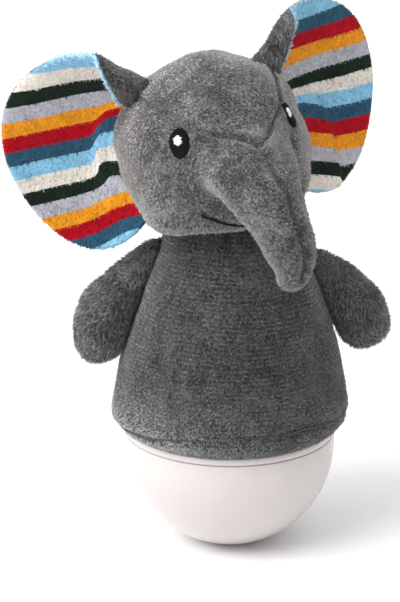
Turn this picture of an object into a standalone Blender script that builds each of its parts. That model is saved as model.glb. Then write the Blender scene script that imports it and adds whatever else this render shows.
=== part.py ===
# Plush elephant roly poly toy. Metres, +Z up, the face looks along -Y, the toy's own left is +X.
# The origin is the middle of the small flat foot under the weighted bowl.
import bpy
import bmesh
import math
from mathutils import Matrix, Vector

MM = 0.001

# fits shared by all pieces
GAP = 0.3 * MM            # clearance between pieces that touch
SKIN = 1.8 * MM           # thickness of the plush fabric
FILL = 1.3 * MM           # thickness of the layer that stands for the loose filling
FILL_GAP = 1.1 * MM       # its clearance inside a rounded skin
EDGE = 0.5 * MM           # small rounding on plastic edges

# weighted base
BOWL_R = 50.0 * MM        # outer radius of the round bottom and of its rim
BOWL_WALL = 2.2 * MM
FOOT_R = 9.0 * MM         # small flat at the pole of the bowl
BOWL_MIDDLE_Z = math.sqrt(BOWL_R ** 2 - FOOT_R ** 2)  # middle of the ball that the bottom is cut from
RIM_UP = 5.92 * MM        # upright wall above that middle
RIM_Z = BOWL_MIDDLE_Z + RIM_UP  # top of the bowl's rim, the fine parting line
LIP_H = 3.9 * MM
LIP_TOP_Z = RIM_Z + LIP_H  # top of the cap's white lip
SPIGOT_H = 3.6 * MM
SPIGOT_Z = RIM_Z - SPIGOT_H  # foot of the cap's spigot inside the bowl
SHELF_T = 2.0 * MM
LIP_W = 3.4 * MM          # ledge of the lip outside the collar
COLLAR_R = BOWL_R - LIP_W  # upright ring that the elastic hem grips
COLLAR_T = 1.8 * MM
COLLAR_H = 9.0 * MM
COLLAR_Z = LIP_TOP_Z + COLLAR_H
SHELF_W = 11.8 * MM       # floor between the collar and the dome, which the screws go through
DOME_R = COLLAR_R - COLLAR_T - SHELF_W
DOME_H = 39.0 * MM
DOME_TOP_Z = LIP_TOP_Z + DOME_H
DOME_WALL = 2.0 * MM

# iron weight and its screws
WEIGHT_TOP_Z = 24.0 * MM
WEIGHT_CLEAR = 2.0 * MM   # between the weight and the cap's posts
POST_R = 3.5 * MM
CAP_POST_OUT = 7.0 * MM   # from the foot of the dome to the cap's screws
CAP_POST_RING = DOME_R + CAP_POST_OUT
WEIGHT_R = CAP_POST_RING - POST_R - WEIGHT_CLEAR
BOLT_R = 1.3 * MM
BOLT_HEAD_R = 4.2 * MM
BOLT_HEAD_T = 2.4 * MM
BOLT_IN = 14.0 * MM
SCREW_COUNT = 3

# chime
ARCH_INSET = 11.0 * MM    # from the foot of the dome in to the arch's legs
ARCH_HALF = DOME_R - ARCH_INSET
PLATE_EDGE = 6.0 * MM     # what the plate stands out beyond the arch's legs
PLATE_R = ARCH_HALF + PLATE_EDGE
PLATE_T = 1.5 * MM
SCREW_INSET = 5.0 * MM    # from the plate's edge in to the weight's screws
POST_RING = PLATE_R - SCREW_INSET
ARCH_W = 8.0 * MM
ARCH_UNDER = 14.0 * MM    # from the dome's top down to the arch
ARCH_TOP_Z = DOME_TOP_Z - ARCH_UNDER
BAIL_PIN_DOWN = 6.5 * MM  # from the arch's top down to the bail's pin
BAIL_PIN_Z = ARCH_TOP_Z - BAIL_PIN_DOWN
LINK = 11.0 * MM          # from the bail's pin to the clapper's pin
BALL_DROP = 26.5 * MM
BALL_R = 6.5 * MM
PIN_R = 1.3 * MM
EYE_T = 1.6 * MM          # thickness of the flat eye that a pin goes through
EYE_W = 5.6 * MM          # its width
LINK_TAB = 8.5 * MM       # height of the bail's lower eye
CHEEK_T = 1.4 * MM
FORK_W = 5.0 * MM
FORK_DROP = 6.0 * MM      # from a pin down to the bridge of its fork
ROD_R = 1.25 * MM
ROD_INSET = 6.0 * MM      # from the arch's legs in to the rods
ROD_RING = ARCH_HALF - ROD_INSET
ROD_SHORT = 26.0 * MM
ROD_STEP = 4.0 * MM
ROD_COUNT = 4

# plush body, a bell on the vertical axis: radius and height at five stations
HEM_Z = LIP_TOP_Z + GAP
HEM_OUT = 2.3 * MM        # what the hem stands out beyond the white lip
HEM_T = 2.2 * MM          # thickness of the turned hem
HEM_R = BOWL_R + HEM_OUT
BELLY_OUT = 3.9 * MM      # swell of the belly beyond the hem
BELLY_R = HEM_R + BELLY_OUT
BELLY_Z = 69.5 * MM
WAIST_R = 49.4 * MM
WAIST_Z = 105.0 * MM
CHEST_R = 39.3 * MM
CHEST_Z = 134.0 * MM
NECK_R = 26.5 * MM
NECK_Z = 164.0 * MM
ELASTIC_T = 1.3 * MM
ELASTIC_H = 4.0 * MM
LINING_T = 0.8 * MM

# head: a rounded pear, turned and leaning on the body
HEAD_ASIDE = -9.0 * MM    # place of the head's middle
HEAD_BACK = -7.6 * MM
HEAD_HEIGHT = 198.6 * MM
HEAD_AT = Vector((HEAD_ASIDE, HEAD_BACK, HEAD_HEIGHT))
HEAD_YAW = 12.0
HEAD_LEAN = 8.5
HEAD_X = 45.5 * MM
HEAD_Y = 43.0 * MM
HEAD_Z = 42.0 * MM
HEAD_LOW = 1.17           # how much deeper the head is below its middle than above
HEAD_PEAR = 0.045         # how much wider the cheeks are than the crown
JOWL = 4.0 * MM           # swell of each cheek low at the side

# trunk stations in the head's frame: aside, forward, up, and the two half sizes of the section
TRUNK_ROOT_LON = 31.0
TRUNK_ROOT_LAT = 25.0
TRUNK_ROOT_UP = 5.0
TRUNK = ((1.0, 49.0, -2.0, 22.0), (2.5, 58.0, -13.0, 17.3), (4.7, 64.5, -25.0, 13.6),
         (6.6, 68.5, -36.5, 12.2), (7.6, 70.5, -45.0, 10.2))
TRUNK_FLAT = 0.82         # depth of the trunk's section for its width
TRUNK_ROOT_DEPTH = 14.0 * MM

# ear: an egg outline in a plane that sweeps back from the side of the head
EAR_SWEEP = 19.0
EAR_OUT = 44.0 * MM
EAR_BACK = 8.0 * MM
EAR_CU = 12.0 * MM
EAR_CV = 5.5 * MM
EAR_RU = 38.0 * MM
EAR_RV = 47.0 * MM
EAR_SKEW = 7.0 * MM
EAR_START = -118.0        # where the rim leaves the cheek
EAR_END = 103.0           # where the rim meets the folded flap
EAR_TURN = 0.72           # share of the root's length before the flap
FLAP_UP = 22.0 * MM       # height in the ear's plane at which the flap ends
FLAP_OUT = 2.0 * MM       # bow of the flap's free edge
FLAP_IN = 4.0 * MM        # how far its end lies nearer the head
# sewn root of the ear on the head, longitude and latitude from the cheek up, over and forward
EAR_ROOT = ((100, -34), (100, -12), (100, 10), (101, 32), (98, 49), (85, 54), (72, 32))
EAR_CUP = 6.0 * MM        # depth of the hollow in the ear
EAR_FOLD = 4.2 * MM       # half the distance between the blade and the flap in front of it
EAR_LAYER = 1.5 * MM
EAR_GAP = 0.5 * MM        # between the striped and the grey fabric
SUNK = 2.5 * MM           # how far a limb's root is drawn into the larger piece that then cuts it

# arm stations in the plane through the body's axis: out, up, radius
ARM = ((39.0, 134.5, 11.5), (47.0, 129.0, 12.3), (54.5, 123.5, 13.0), (60.5, 115.0, 12.8), (63.8, 106.2, 12.2))
SHOULDER_X = 35.5 * MM    # upper edge of the shoulder seam, about which the arm lifts
SHOULDER_Z = 145.5 * MM


def clear_scene():
    for old in list(bpy.data.objects):
        bpy.data.objects.remove(old, do_unlink=True)


def material(name, colour, roughness, metallic=0.0):
    made = bpy.data.materials.new(name)
    made.use_nodes = True
    shader = made.node_tree.nodes["Principled BSDF"]
    shader.inputs["Base Color"].default_value = (colour[0], colour[1], colour[2], 1.0)
    shader.inputs["Roughness"].default_value = roughness
    shader.inputs["Metallic"].default_value = metallic
    return made


def from_bmesh(name, bm, look, origin=(0.0, 0.0, 0.0), smooth=True):
    bmesh.ops.remove_doubles(bm, verts=bm.verts, dist=0.000002)
    bmesh.ops.recalc_face_normals(bm, faces=bm.faces)
    bmesh.ops.translate(bm, verts=bm.verts, vec=-Vector(origin))
    mesh = bpy.data.meshes.new(name)
    bm.to_mesh(mesh)
    bm.free()
    for face in mesh.polygons:
        face.use_smooth = smooth
    made = bpy.data.objects.new(name, mesh)
    made.location = origin
    bpy.context.scene.collection.objects.link(made)
    if look is not None:
        made.data.materials.append(material(name + "_look", *look))
    return made


# A closed loop of radius and height points turned about the vertical axis.
def revolve(name, loop, look, segments=40):
    bm = bmesh.new()
    rings = []
    for radius, height in loop:
        if radius < 0.00001:
            rings.append([bm.verts.new((0.0, 0.0, height))])
            continue
        ring = []
        for i in range(segments):
            angle = 2.0 * math.pi * i / segments
            ring.append(bm.verts.new((radius * math.cos(angle), radius * math.sin(angle), height)))
        rings.append(ring)
    for i in range(len(rings)):
        low = rings[i]
        high = rings[(i + 1) % len(rings)]
        if len(low) == 1 and len(high) == 1:
            continue
        for j in range(segments):
            k = (j + 1) % segments
            if len(low) == 1:
                bm.faces.new((low[0], high[j], high[k]))
            elif len(high) == 1:
                bm.faces.new((low[j], low[k], high[0]))
            else:
                bm.faces.new((low[j], low[k], high[k], high[j]))
    return from_bmesh(name, bm, look)


def cylinder(radius, length, middle, axis="Z", sides=20):
    bm = bmesh.new()
    turn = {"Z": Matrix.Identity(4), "X": Matrix.Rotation(math.pi / 2, 4, "Y"), "Y": Matrix.Rotation(math.pi / 2, 4, "X")}
    place = Matrix.Translation(Vector(middle)) @ turn[axis] @ Matrix.Rotation(0.11, 4, "Z")
    bmesh.ops.create_cone(bm, cap_ends=True, segments=sides, radius1=radius, radius2=radius, depth=length, matrix=place)
    return from_bmesh("piece", bm, None)


def block(size, middle):
    bm = bmesh.new()
    place = Matrix.Translation(Vector(middle)) @ Matrix.Diagonal((size[0], size[1], size[2], 1.0))
    bmesh.ops.create_cube(bm, size=1.0, matrix=place)
    return from_bmesh("piece", bm, None)


# Applies an exact boolean and takes the tool piece away again.
def combine(base, tool, operation):
    tool.hide_render = True
    tool.display_type = "WIRE"
    step = base.modifiers.new("step", "BOOLEAN")
    step.operation = operation
    step.solver = "EXACT"
    step.object = tool
    bpy.context.view_layer.update()
    depsgraph = bpy.context.evaluated_depsgraph_get()
    result = bpy.data.meshes.new_from_object(base.evaluated_get(depsgraph))
    base.modifiers.remove(step)
    old = base.data
    base.data = result
    bpy.data.meshes.remove(old)
    bpy.data.objects.remove(tool, do_unlink=True)
    return base


def join_all(name, pieces, look, origin=(0.0, 0.0, 0.0)):
    made = pieces[0]
    for piece in pieces[1:]:
        combine(made, piece, "UNION")
    made.name = name
    made.data.name = name
    made.data.materials.clear()
    made.data.materials.append(material(name + "_look", *look))
    made.data.transform(Matrix.Translation(-Vector(origin)))
    made.location = origin
    return made


# A smooth line through stations, each a tuple of equal length.
def spline(stations, steps):
    points = [Vector(s) if len(s) <= 4 else s for s in stations]
    line = []
    for i in range(len(points) - 1):
        a = points[max(i - 1, 0)]
        b = points[i]
        c = points[i + 1]
        d = points[min(i + 2, len(points) - 1)]
        for j in range(steps):
            t = j / steps
            line.append(0.5 * ((2 * b) + (c - a) * t + (2 * a - 5 * b + 4 * c - d) * t * t + (3 * b - a - 3 * c + d) * t ** 3))
    line.append(points[-1])
    return line


# Skins between neighbouring rings of equal count, with an optional point at either end.
def loft(bm, rings, start=None, end=None):
    made = [[bm.verts.new(p) for p in ring] for ring in rings]
    count = len(rings[0])
    for low, high in zip(made, made[1:]):
        for j in range(count):
            k = (j + 1) % count
            bm.faces.new((low[j], low[k], high[k], high[j]))
    for tip, ring in ((start, made[0]), (end, made[-1])):
        if tip is not None:
            point = bm.verts.new(tip)
            for j in range(count):
                bm.faces.new((point, ring[j], ring[(j + 1) % count]))
    return made


# A closed solid of rings between a root point and a tip.
def ring_solid(name, rings, tip, look, origin=(0.0, 0.0, 0.0)):
    bm = bmesh.new()
    start = sum((p for p in rings[0]), Vector()) / len(rings[0])
    loft(bm, rings, start=start, end=tip)
    return from_bmesh(name, bm, look, origin)


def bridge(bm, first, second):
    count = len(first)
    for j in range(count):
        k = (j + 1) % count
        bm.faces.new((first[j], first[k], second[k], second[j]))


EAR_ROOT_LINE = spline(EAR_ROOT, 8)


def head_frame():
    yaw = Matrix.Rotation(math.radians(HEAD_YAW), 4, "Z")
    lean = Matrix.Rotation(-math.radians(HEAD_LEAN), 4, "Y")
    return Matrix.Translation(HEAD_AT) @ yaw @ lean


# A point of the head's surface in the head's own frame, moved outwards by grow.
def head_point(direction, grow=0.0):
    d = direction.normalized()
    wide = 1.0 - HEAD_PEAR * d.z
    point = Vector((HEAD_X * wide * d.x, HEAD_Y * wide * d.y, HEAD_Z * d.z * (1.0 if d.z > 0.0 else HEAD_LOW)))
    side = Vector((math.copysign(0.55, d.x), -0.38, -0.75)).normalized()
    swell = JOWL * math.exp(-((1.0 - d.dot(side)) / 0.16))
    return point + d * (grow + swell)


def lonlat(lon, lat):
    a = math.radians(lon)
    b = math.radians(lat)
    return Vector((math.sin(a) * math.cos(b), -math.cos(a) * math.cos(b), math.sin(b)))


def body_profile(steps):
    stations = ((HEM_R, HEM_Z), (BELLY_R, BELLY_Z), (WAIST_R, WAIST_Z), (CHEST_R, CHEST_Z), (NECK_R, NECK_Z))
    return spline(stations, steps)


def offset_profile(line, inward):
    moved = []
    for i, point in enumerate(line):
        along = (line[min(i + 1, len(line) - 1)] - line[max(i - 1, 0)]).normalized()
        moved.append(point + Vector((-along.y, along.x)) * inward)
    return moved


def body_radius(height):
    line = body_profile(8)
    for low, high in zip(line, line[1:]):
        if low.y <= height <= high.y:
            return low.x + (high.x - low.x) * (height - low.y) / (high.y - low.y)
    return NECK_R


def base_pieces():
    centre = BOWL_MIDDLE_Z
    inner = BOWL_R - BOWL_WALL
    loop = [(0.0, 0.0)]
    first = math.asin(FOOT_R / BOWL_R)
    for i in range(11):
        angle = first + (math.pi / 2 - first) * i / 10
        loop.append((BOWL_R * math.sin(angle), centre - BOWL_R * math.cos(angle)))
    loop += [(BOWL_R, RIM_Z - EDGE), (BOWL_R - EDGE, RIM_Z), (inner, RIM_Z)]
    for i in range(9):
        angle = math.pi / 2 * (1.0 - i / 9)
        loop.append((inner * math.sin(angle), centre - inner * math.cos(angle)))
    loop.append((0.0, centre - inner))
    bowl = revolve("base_bowl", loop, ((0.80, 0.76, 0.74), 0.22))
    cap_post_top = LIP_TOP_Z - SHELF_T - GAP
    for i in range(SCREW_COUNT):
        for ring, top, turn in ((POST_RING, WEIGHT_TOP_Z - EDGE, 0.0), (CAP_POST_RING, cap_post_top, 0.5)):
            angle = 2.0 * math.pi * (i + turn) / SCREW_COUNT + math.pi / 6
            x = ring * math.cos(angle)
            y = ring * math.sin(angle)
            low = 1.0 * MM
            post = cylinder(POST_R, top - low, (x, y, (top + low) / 2), sides=16)
            ball = bmesh.new()
            place = Matrix.Translation((0, 0, centre)) @ Matrix.Rotation(0.05, 4, "Z")
            bmesh.ops.create_uvsphere(ball, u_segments=40, v_segments=40, radius=inner + BOWL_WALL / 2, matrix=place)
            combine(post, from_bmesh("piece", ball, None), "INTERSECT")
            combine(bowl, post, "UNION")
            deep = BOLT_IN + 2.0 * MM
            combine(bowl, cylinder(BOLT_R + GAP, deep * 2, (x, y, top), sides=12), "DIFFERENCE")

    loop = [(0.0, centre - inner + GAP)]
    ball = inner - GAP
    last = math.asin(WEIGHT_R / ball)
    for i in range(1, 9):
        angle = last * i / 8
        loop.append((ball * math.sin(angle), centre - ball * math.cos(angle)))
    loop += [(WEIGHT_R, WEIGHT_TOP_Z - EDGE), (WEIGHT_R - EDGE, WEIGHT_TOP_Z), (0.0, WEIGHT_TOP_Z)]
    weight = revolve("counterweight", loop, ((0.10, 0.10, 0.11), 0.6, 0.8), 36)
    for i in range(SCREW_COUNT):
        angle = 2.0 * math.pi * i / SCREW_COUNT + math.pi / 6
        spot = (POST_RING * math.cos(angle), POST_RING * math.sin(angle), WEIGHT_TOP_Z / 2)
        combine(weight, cylinder(POST_R + GAP, 2 * WEIGHT_TOP_Z, spot, sides=16), "DIFFERENCE")

    shelf_low = LIP_TOP_Z - SHELF_T
    spigot = BOWL_R - BOWL_WALL - GAP
    loop = [(0.0, DOME_TOP_Z)]
    rise = DOME_TOP_Z - LIP_TOP_Z
    for i in range(1, 7):
        angle = math.pi / 2 * i / 6
        loop.append((DOME_R * math.sin(angle) ** 0.8, LIP_TOP_Z + rise * max(math.cos(angle), 0.0) ** 0.7))
    loop += [(COLLAR_R - COLLAR_T, LIP_TOP_Z), (COLLAR_R - COLLAR_T, COLLAR_Z), (COLLAR_R - EDGE, COLLAR_Z)]
    loop += [(COLLAR_R, COLLAR_Z - EDGE), (COLLAR_R, LIP_TOP_Z), (BOWL_R - 2 * EDGE, LIP_TOP_Z)]
    loop += [(BOWL_R, LIP_TOP_Z - 2 * EDGE), (BOWL_R, RIM_Z + GAP + EDGE), (BOWL_R - EDGE, RIM_Z + GAP)]
    loop += [(spigot, RIM_Z + GAP), (spigot, SPIGOT_Z), (spigot - BOWL_WALL, SPIGOT_Z), (spigot - BOWL_WALL, shelf_low)]
    inner_r = DOME_R - DOME_WALL
    for i in range(6, 0, -1):
        angle = math.pi / 2 * i / 6
        loop.append((inner_r * math.sin(angle) ** 0.8, shelf_low + (rise * max(math.cos(angle), 0.0) ** 0.7)))
    loop.append((0.0, shelf_low + rise))
    cap = revolve("base_cap", loop, ((0.80, 0.76, 0.74), 0.22))
    for i in range(SCREW_COUNT):
        angle = 2.0 * math.pi * (i + 0.5) / SCREW_COUNT + math.pi / 6
        spot = (CAP_POST_RING * math.cos(angle), CAP_POST_RING * math.sin(angle), LIP_TOP_Z)
        combine(cap, cylinder(BOLT_R + GAP, 4 * SHELF_T, spot, sides=12), "DIFFERENCE")

    for i in range(SCREW_COUNT):
        for prefix, ring, seat, turn in (("weight", POST_RING, WEIGHT_TOP_Z + 2 * GAP + PLATE_T, 0.0),
                                         ("cap", CAP_POST_RING, LIP_TOP_Z + GAP, 0.5)):
            angle = 2.0 * math.pi * (i + turn) / SCREW_COUNT + math.pi / 6
            x = ring * math.cos(angle)
            y = ring * math.sin(angle)
            head_r = BOLT_HEAD_R if prefix == "weight" else BOLT_HEAD_R - 0.6 * MM
            head = cylinder(head_r, BOLT_HEAD_T, (x, y, seat + BOLT_HEAD_T / 2))
            shank_top = seat + BOLT_HEAD_T / 2
            shank = cylinder(BOLT_R, BOLT_IN, (x, y, shank_top - BOLT_IN / 2), sides=12)
            join_all(prefix + "_screw_" + str(i + 1), [head, shank], ((0.55, 0.55, 0.57), 0.35, 1.0))


def fork(pin, axis):
    """Two cheeks about a flat eye, the pin through them and the bridge below."""
    across = (1, 0, 0) if axis == "X" else (0, 1, 0)
    wide = Vector(across)
    deep = Vector((0, 1, 0)) if axis == "X" else Vector((1, 0, 0))
    inside = EYE_T / 2 + GAP
    full = 2 * (inside + CHEEK_T)
    pieces = [cylinder(PIN_R, full + 1.0 * MM, pin, axis)]
    for side in (-1, 1):
        middle = Vector(pin) + wide * side * (inside + CHEEK_T / 2) + Vector((0, 0, 2.0 * MM - FORK_DROP / 2))
        size = wide * CHEEK_T + deep * FORK_W + Vector((0, 0, FORK_DROP + 1.0 * MM))
        pieces.append(block(size, middle))
    low = Vector(pin) + Vector((0, 0, 1.5 * MM - FORK_DROP))
    pieces.append(block(wide * full + deep * FORK_W + Vector((0, 0, 2.0 * MM)), low))
    return pieces


def chime_pieces():
    plate_low = WEIGHT_TOP_Z + GAP
    plate_top = plate_low + PLATE_T
    steel = ((0.60, 0.61, 0.63), 0.3, 1.0)
    frame = cylinder(PLATE_R, PLATE_T, (0, 0, plate_low + PLATE_T / 2), sides=40)
    leg_h = ARCH_TOP_Z - plate_low
    parts = [frame]
    for side in (-1, 1):
        parts.append(block((PLATE_T, ARCH_W, leg_h), (side * ARCH_HALF, 0, plate_low + leg_h / 2)))
    parts.append(block((2 * ARCH_HALF + PLATE_T, ARCH_W, PLATE_T), (0, 0, ARCH_TOP_Z - PLATE_T / 2)))
    eye_h = ARCH_TOP_Z - BAIL_PIN_Z + 2.0 * PIN_R
    parts.append(block((EYE_T, EYE_W, eye_h), (0, 0, ARCH_TOP_Z - eye_h / 2)))
    frame = join_all("chime_frame", parts, steel)
    combine(frame, cylinder(PIN_R + GAP, 4 * EYE_T, (0, 0, BAIL_PIN_Z), "X"), "DIFFERENCE")
    for i in range(SCREW_COUNT):
        angle = 2.0 * math.pi * i / SCREW_COUNT + math.pi / 6
        spot = (POST_RING * math.cos(angle), POST_RING * math.sin(angle), plate_low)
        combine(frame, cylinder(BOLT_R + GAP, 4 * PLATE_T, spot), "DIFFERENCE")
    for i in range(ROD_COUNT):
        angle = 2.0 * math.pi * i / ROD_COUNT
        x = ROD_RING * math.cos(angle)
        y = ROD_RING * math.sin(angle)
        combine(frame, cylinder(ROD_R + GAP, 4 * PLATE_T, (x, y, plate_low)), "DIFFERENCE")
        long = ROD_SHORT + ROD_STEP * i
        rod = cylinder(ROD_R, long, (x, y, plate_low + long / 2), sides=14)
        collar = cylinder(ROD_R + 1.0 * MM, 2.0 * MM, (x, y, plate_top + GAP + 1.0 * MM), sides=14)
        join_all("chime_rod_" + str(i + 1), [rod, collar], steel)

    top = (0, 0, BAIL_PIN_Z)
    parts = fork(top, "X")
    low_pin = BAIL_PIN_Z - LINK
    parts.append(block((EYE_W, EYE_T, LINK_TAB), (0, 0, low_pin + 2.0 * MM)))
    bail = join_all("chime_bail", parts, steel, top)
    hole = cylinder(PIN_R + GAP, 4 * EYE_T, (0, 0, low_pin), "Y")
    combine(bail, hole, "DIFFERENCE")
    pin = (0, 0, low_pin)
    parts = fork(pin, "Y")
    stem_top = low_pin - FORK_DROP + 1.0 * MM
    ball_z = low_pin - BALL_DROP
    parts.append(cylinder(1.1 * MM, stem_top - ball_z, (0, 0, (stem_top + ball_z) / 2), sides=12))
    bm = bmesh.new()
    bmesh.ops.create_uvsphere(bm, u_segments=20, v_segments=12, radius=BALL_R, matrix=Matrix.Translation((0, 0, ball_z)))
    parts.append(from_bmesh("piece", bm, None))
    join_all("chime_clapper", parts, ((0.72, 0.52, 0.22), 0.3, 1.0), pin)


def closed_loop(outer, inner):
    return [tuple(p) for p in outer] + [tuple(p) for p in reversed(inner)]


def body_pieces():
    grey = ((0.11, 0.115, 0.12), 0.95)
    outer = body_profile(3)
    inner = offset_profile(outer, SKIN)
    inner[0] = Vector((HEM_R - HEM_T, HEM_Z))
    inner[-1] = Vector((NECK_R - SKIN, NECK_Z))
    revolve("body_skin", closed_loop(outer, inner), grey, 32)

    fill_out = [p for p in offset_profile(outer, SKIN + GAP) if COLLAR_Z + 3 * MM < p.y]
    fill_in = [p for p in offset_profile(outer, SKIN + GAP + FILL) if COLLAR_Z + 3 * MM < p.y]
    count = min(len(fill_out), len(fill_in))
    fill_out = fill_out[-count:]
    fill_in = fill_in[-count:]
    fill_out[-1] = Vector((NECK_R - SKIN - GAP, NECK_Z))
    fill_in[-1] = Vector((NECK_R - SKIN - GAP - FILL, NECK_Z))
    revolve("body_stuffing", closed_loop(fill_out, fill_in), ((0.85, 0.85, 0.83), 1.0), 24)

    ring_in = COLLAR_R + 2 * GAP
    ring_out = ring_in + ELASTIC_T
    low = HEM_Z + GAP
    loop = [(ring_in, low), (ring_out, low), (ring_out, low + ELASTIC_H), (ring_in, low + ELASTIC_H)]
    revolve("hem_elastic", loop, ((0.75, 0.75, 0.72), 0.8), 32)

    outer = []
    inner = []
    rise = DOME_TOP_Z - LIP_TOP_Z
    for i in range(6):
        angle = math.pi / 2 * i / 6
        r = DOME_R * math.sin(angle) ** 0.8
        z = LIP_TOP_Z + rise * math.cos(angle) ** 0.7
        scale = 1.0 + (2 * GAP + LINING_T) / DOME_R
        outer.append(Vector((r * scale, z + 2 * GAP + 2 * LINING_T)))
        scale = 1.0 + 2 * GAP / DOME_R
        inner.append(Vector((r * scale, z + 2 * GAP + LINING_T)))
    skirt = low + ELASTIC_H + GAP
    outer += [Vector((COLLAR_R + 2 * GAP, COLLAR_Z + 2 * GAP + LINING_T)), Vector((ring_out, COLLAR_Z)), Vector((ring_out, skirt))]
    inner += [Vector((COLLAR_R - COLLAR_T, COLLAR_Z + 2 * GAP)), Vector((ring_in, COLLAR_Z)), Vector((ring_in, skirt))]
    revolve("body_lining", closed_loop(outer, inner), ((0.80, 0.80, 0.78), 0.95), 24)


# Rings of the head from the crown to the round neck opening, moved outwards by grow.
def head_rings(grow, count, segments):
    frame = head_frame()
    rings = []
    top = math.radians(144.0)
    rim = NECK_R + grow
    for i in range(1, count + 1):
        polar = top * i / count
        pull = max(0.0, (i / count - 0.84) / 0.16)
        pull = pull * pull * (3.0 - 2.0 * pull)
        ring = []
        for j in range(segments):
            turn = 2.0 * math.pi * j / segments
            d = Vector((math.sin(polar) * math.cos(turn), math.sin(polar) * math.sin(turn), math.cos(polar)))
            free = frame @ head_point(d, grow)
            spun = turn + math.radians(HEAD_YAW)
            neck = Vector((rim * math.cos(spun), rim * math.sin(spun), NECK_Z + GAP))
            here = free.lerp(neck, pull)
            if i < count:
                here.z = max(here.z, NECK_Z + 2 * GAP - grow)
            ring.append(here)
        rings.append(ring)
    crown = frame @ head_point(Vector((0, 0, 1)), grow)
    return rings, crown


def head_pieces():
    for name, outside, inside, look, count, segments in (
            ("head_skin", 0.0, -SKIN, ((0.16, 0.155, 0.16), 0.95), 10, 24),
            ("head_stuffing", -SKIN - FILL_GAP, -SKIN - FILL_GAP - FILL, ((0.85, 0.85, 0.83), 1.0), 10, 20)):
        bm = bmesh.new()
        rings, crown = head_rings(outside, count, segments)
        first = loft(bm, rings, start=crown)
        rings, crown = head_rings(inside, count, segments)
        second = loft(bm, rings, start=crown)
        bridge(bm, first[-1], second[-1])
        from_bmesh(name, bm, look)


# The closed shape of the head with its clearance, which cuts the trunk and the ears.
def head_cutter():
    bm = bmesh.new()
    rings, crown = head_rings(GAP, 10, 24)
    loft(bm, rings, start=crown, end=(0.0, 0.0, NECK_Z))
    return from_bmesh("cutter", bm, None)


def body_cutter():
    line = offset_profile(body_profile(3), -GAP)
    loop = [(0.0, HEM_Z)] + [tuple(p) for p in line] + [(0.0, NECK_Z + GAP)]
    return revolve("cutter", loop, None, 32)


# Keeps a point of the trunk clear of the head.
def off_head(point, clear):
    direction = point.normalized()
    limit = head_point(direction, clear)
    if point.length < limit.length:
        return limit
    return point


def trunk_rings(shrink, segments):
    stations = spline([Vector(s) * MM for s in TRUNK], 2)
    rings = []
    root = []
    for j in range(segments):
        turn = 2.0 * math.pi * j / segments
        slim = 1.0 - 2.0 * shrink / (HEAD_X * math.radians(TRUNK_ROOT_LAT))
        lon = TRUNK_ROOT_LON * slim * math.cos(turn)
        lat = TRUNK_ROOT_UP + TRUNK_ROOT_LAT * slim * math.sin(turn)
        root.append(head_point(lonlat(lon, lat), -SUNK - shrink))
    rings.append(root)
    for i, here in enumerate(stations):
        before = stations[max(i - 1, 0)]
        after = stations[min(i + 1, len(stations) - 1)]
        along = Vector((after.x - before.x, before.y - after.y, after.z - before.z)).normalized()
        if i == 0:
            along = Vector((0, -0.86, -0.5))
        across = Vector((1, 0, 0)) - along * along.x
        across.normalize()
        up = along.cross(across)
        centre = Vector((here.x, -here.y, here.z))
        deep = min(here.w * TRUNK_FLAT, TRUNK_ROOT_DEPTH) + 0.12 * max(0.0, TRUNK_ROOT_DEPTH - here.w)
        ring = []
        for j in range(segments):
            turn = 2.0 * math.pi * j / segments
            point = centre + across * (here.w - shrink) * math.cos(turn)
            point += up * (deep - shrink) * math.sin(turn)
            ring.append(off_head(point, 2 * GAP + shrink))
        rings.append(ring)
    last = stations[-1]
    along = Vector((0.12, -0.15, -1.0)).normalized()
    across = Vector((1, 0, 0.12)).normalized()
    up = along.cross(across)
    deep = last.w * TRUNK_FLAT
    end = Vector((last.x, -last.y, last.z))
    for part in (0.5, 0.85):
        ring = []
        for j in range(segments):
            turn = 2.0 * math.pi * j / segments
            small = math.sqrt(1.0 - part * part)
            point = end + along * (last.w - shrink) * part * 0.85
            point += across * (last.w - shrink) * small * math.cos(turn)
            point += up * (deep - shrink) * small * math.sin(turn)
            ring.append(point)
        rings.append(ring)
    return rings, end + along * (last.w - shrink) * 0.85


def trunk_pieces():
    frame = head_frame()
    solids = []
    for shrink, segments, look in ((0.0, 16, ((0.13, 0.13, 0.13), 0.95)), (SKIN, 16, None),
                                   (SKIN + FILL_GAP, 12, ((0.85, 0.85, 0.83), 1.0))):
        rings, tip = trunk_rings(shrink, segments)
        if shrink > SKIN:
            rings = rings[2:]
        rings = [[frame @ p for p in ring] for ring in rings]
        name = "trunk_skin" if shrink < SKIN else "trunk_stuffing"
        solids.append(ring_solid(name, rings, frame @ tip, look))
    combine(solids[0], head_cutter(), "DIFFERENCE")
    combine(solids[0], solids[1], "DIFFERENCE")
    solids[2].name = "trunk_stuffing"


def ear_axes(side):
    sweep = math.radians(EAR_SWEEP)
    out = Vector((side * math.cos(sweep), math.sin(sweep), 0.0))
    up = Vector((0, 0, 1))
    front = Vector((side * math.sin(sweep), -math.cos(sweep), 0.0))
    base = Vector((side * EAR_OUT, EAR_BACK, 0.0))
    return base, out, up, front


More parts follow.
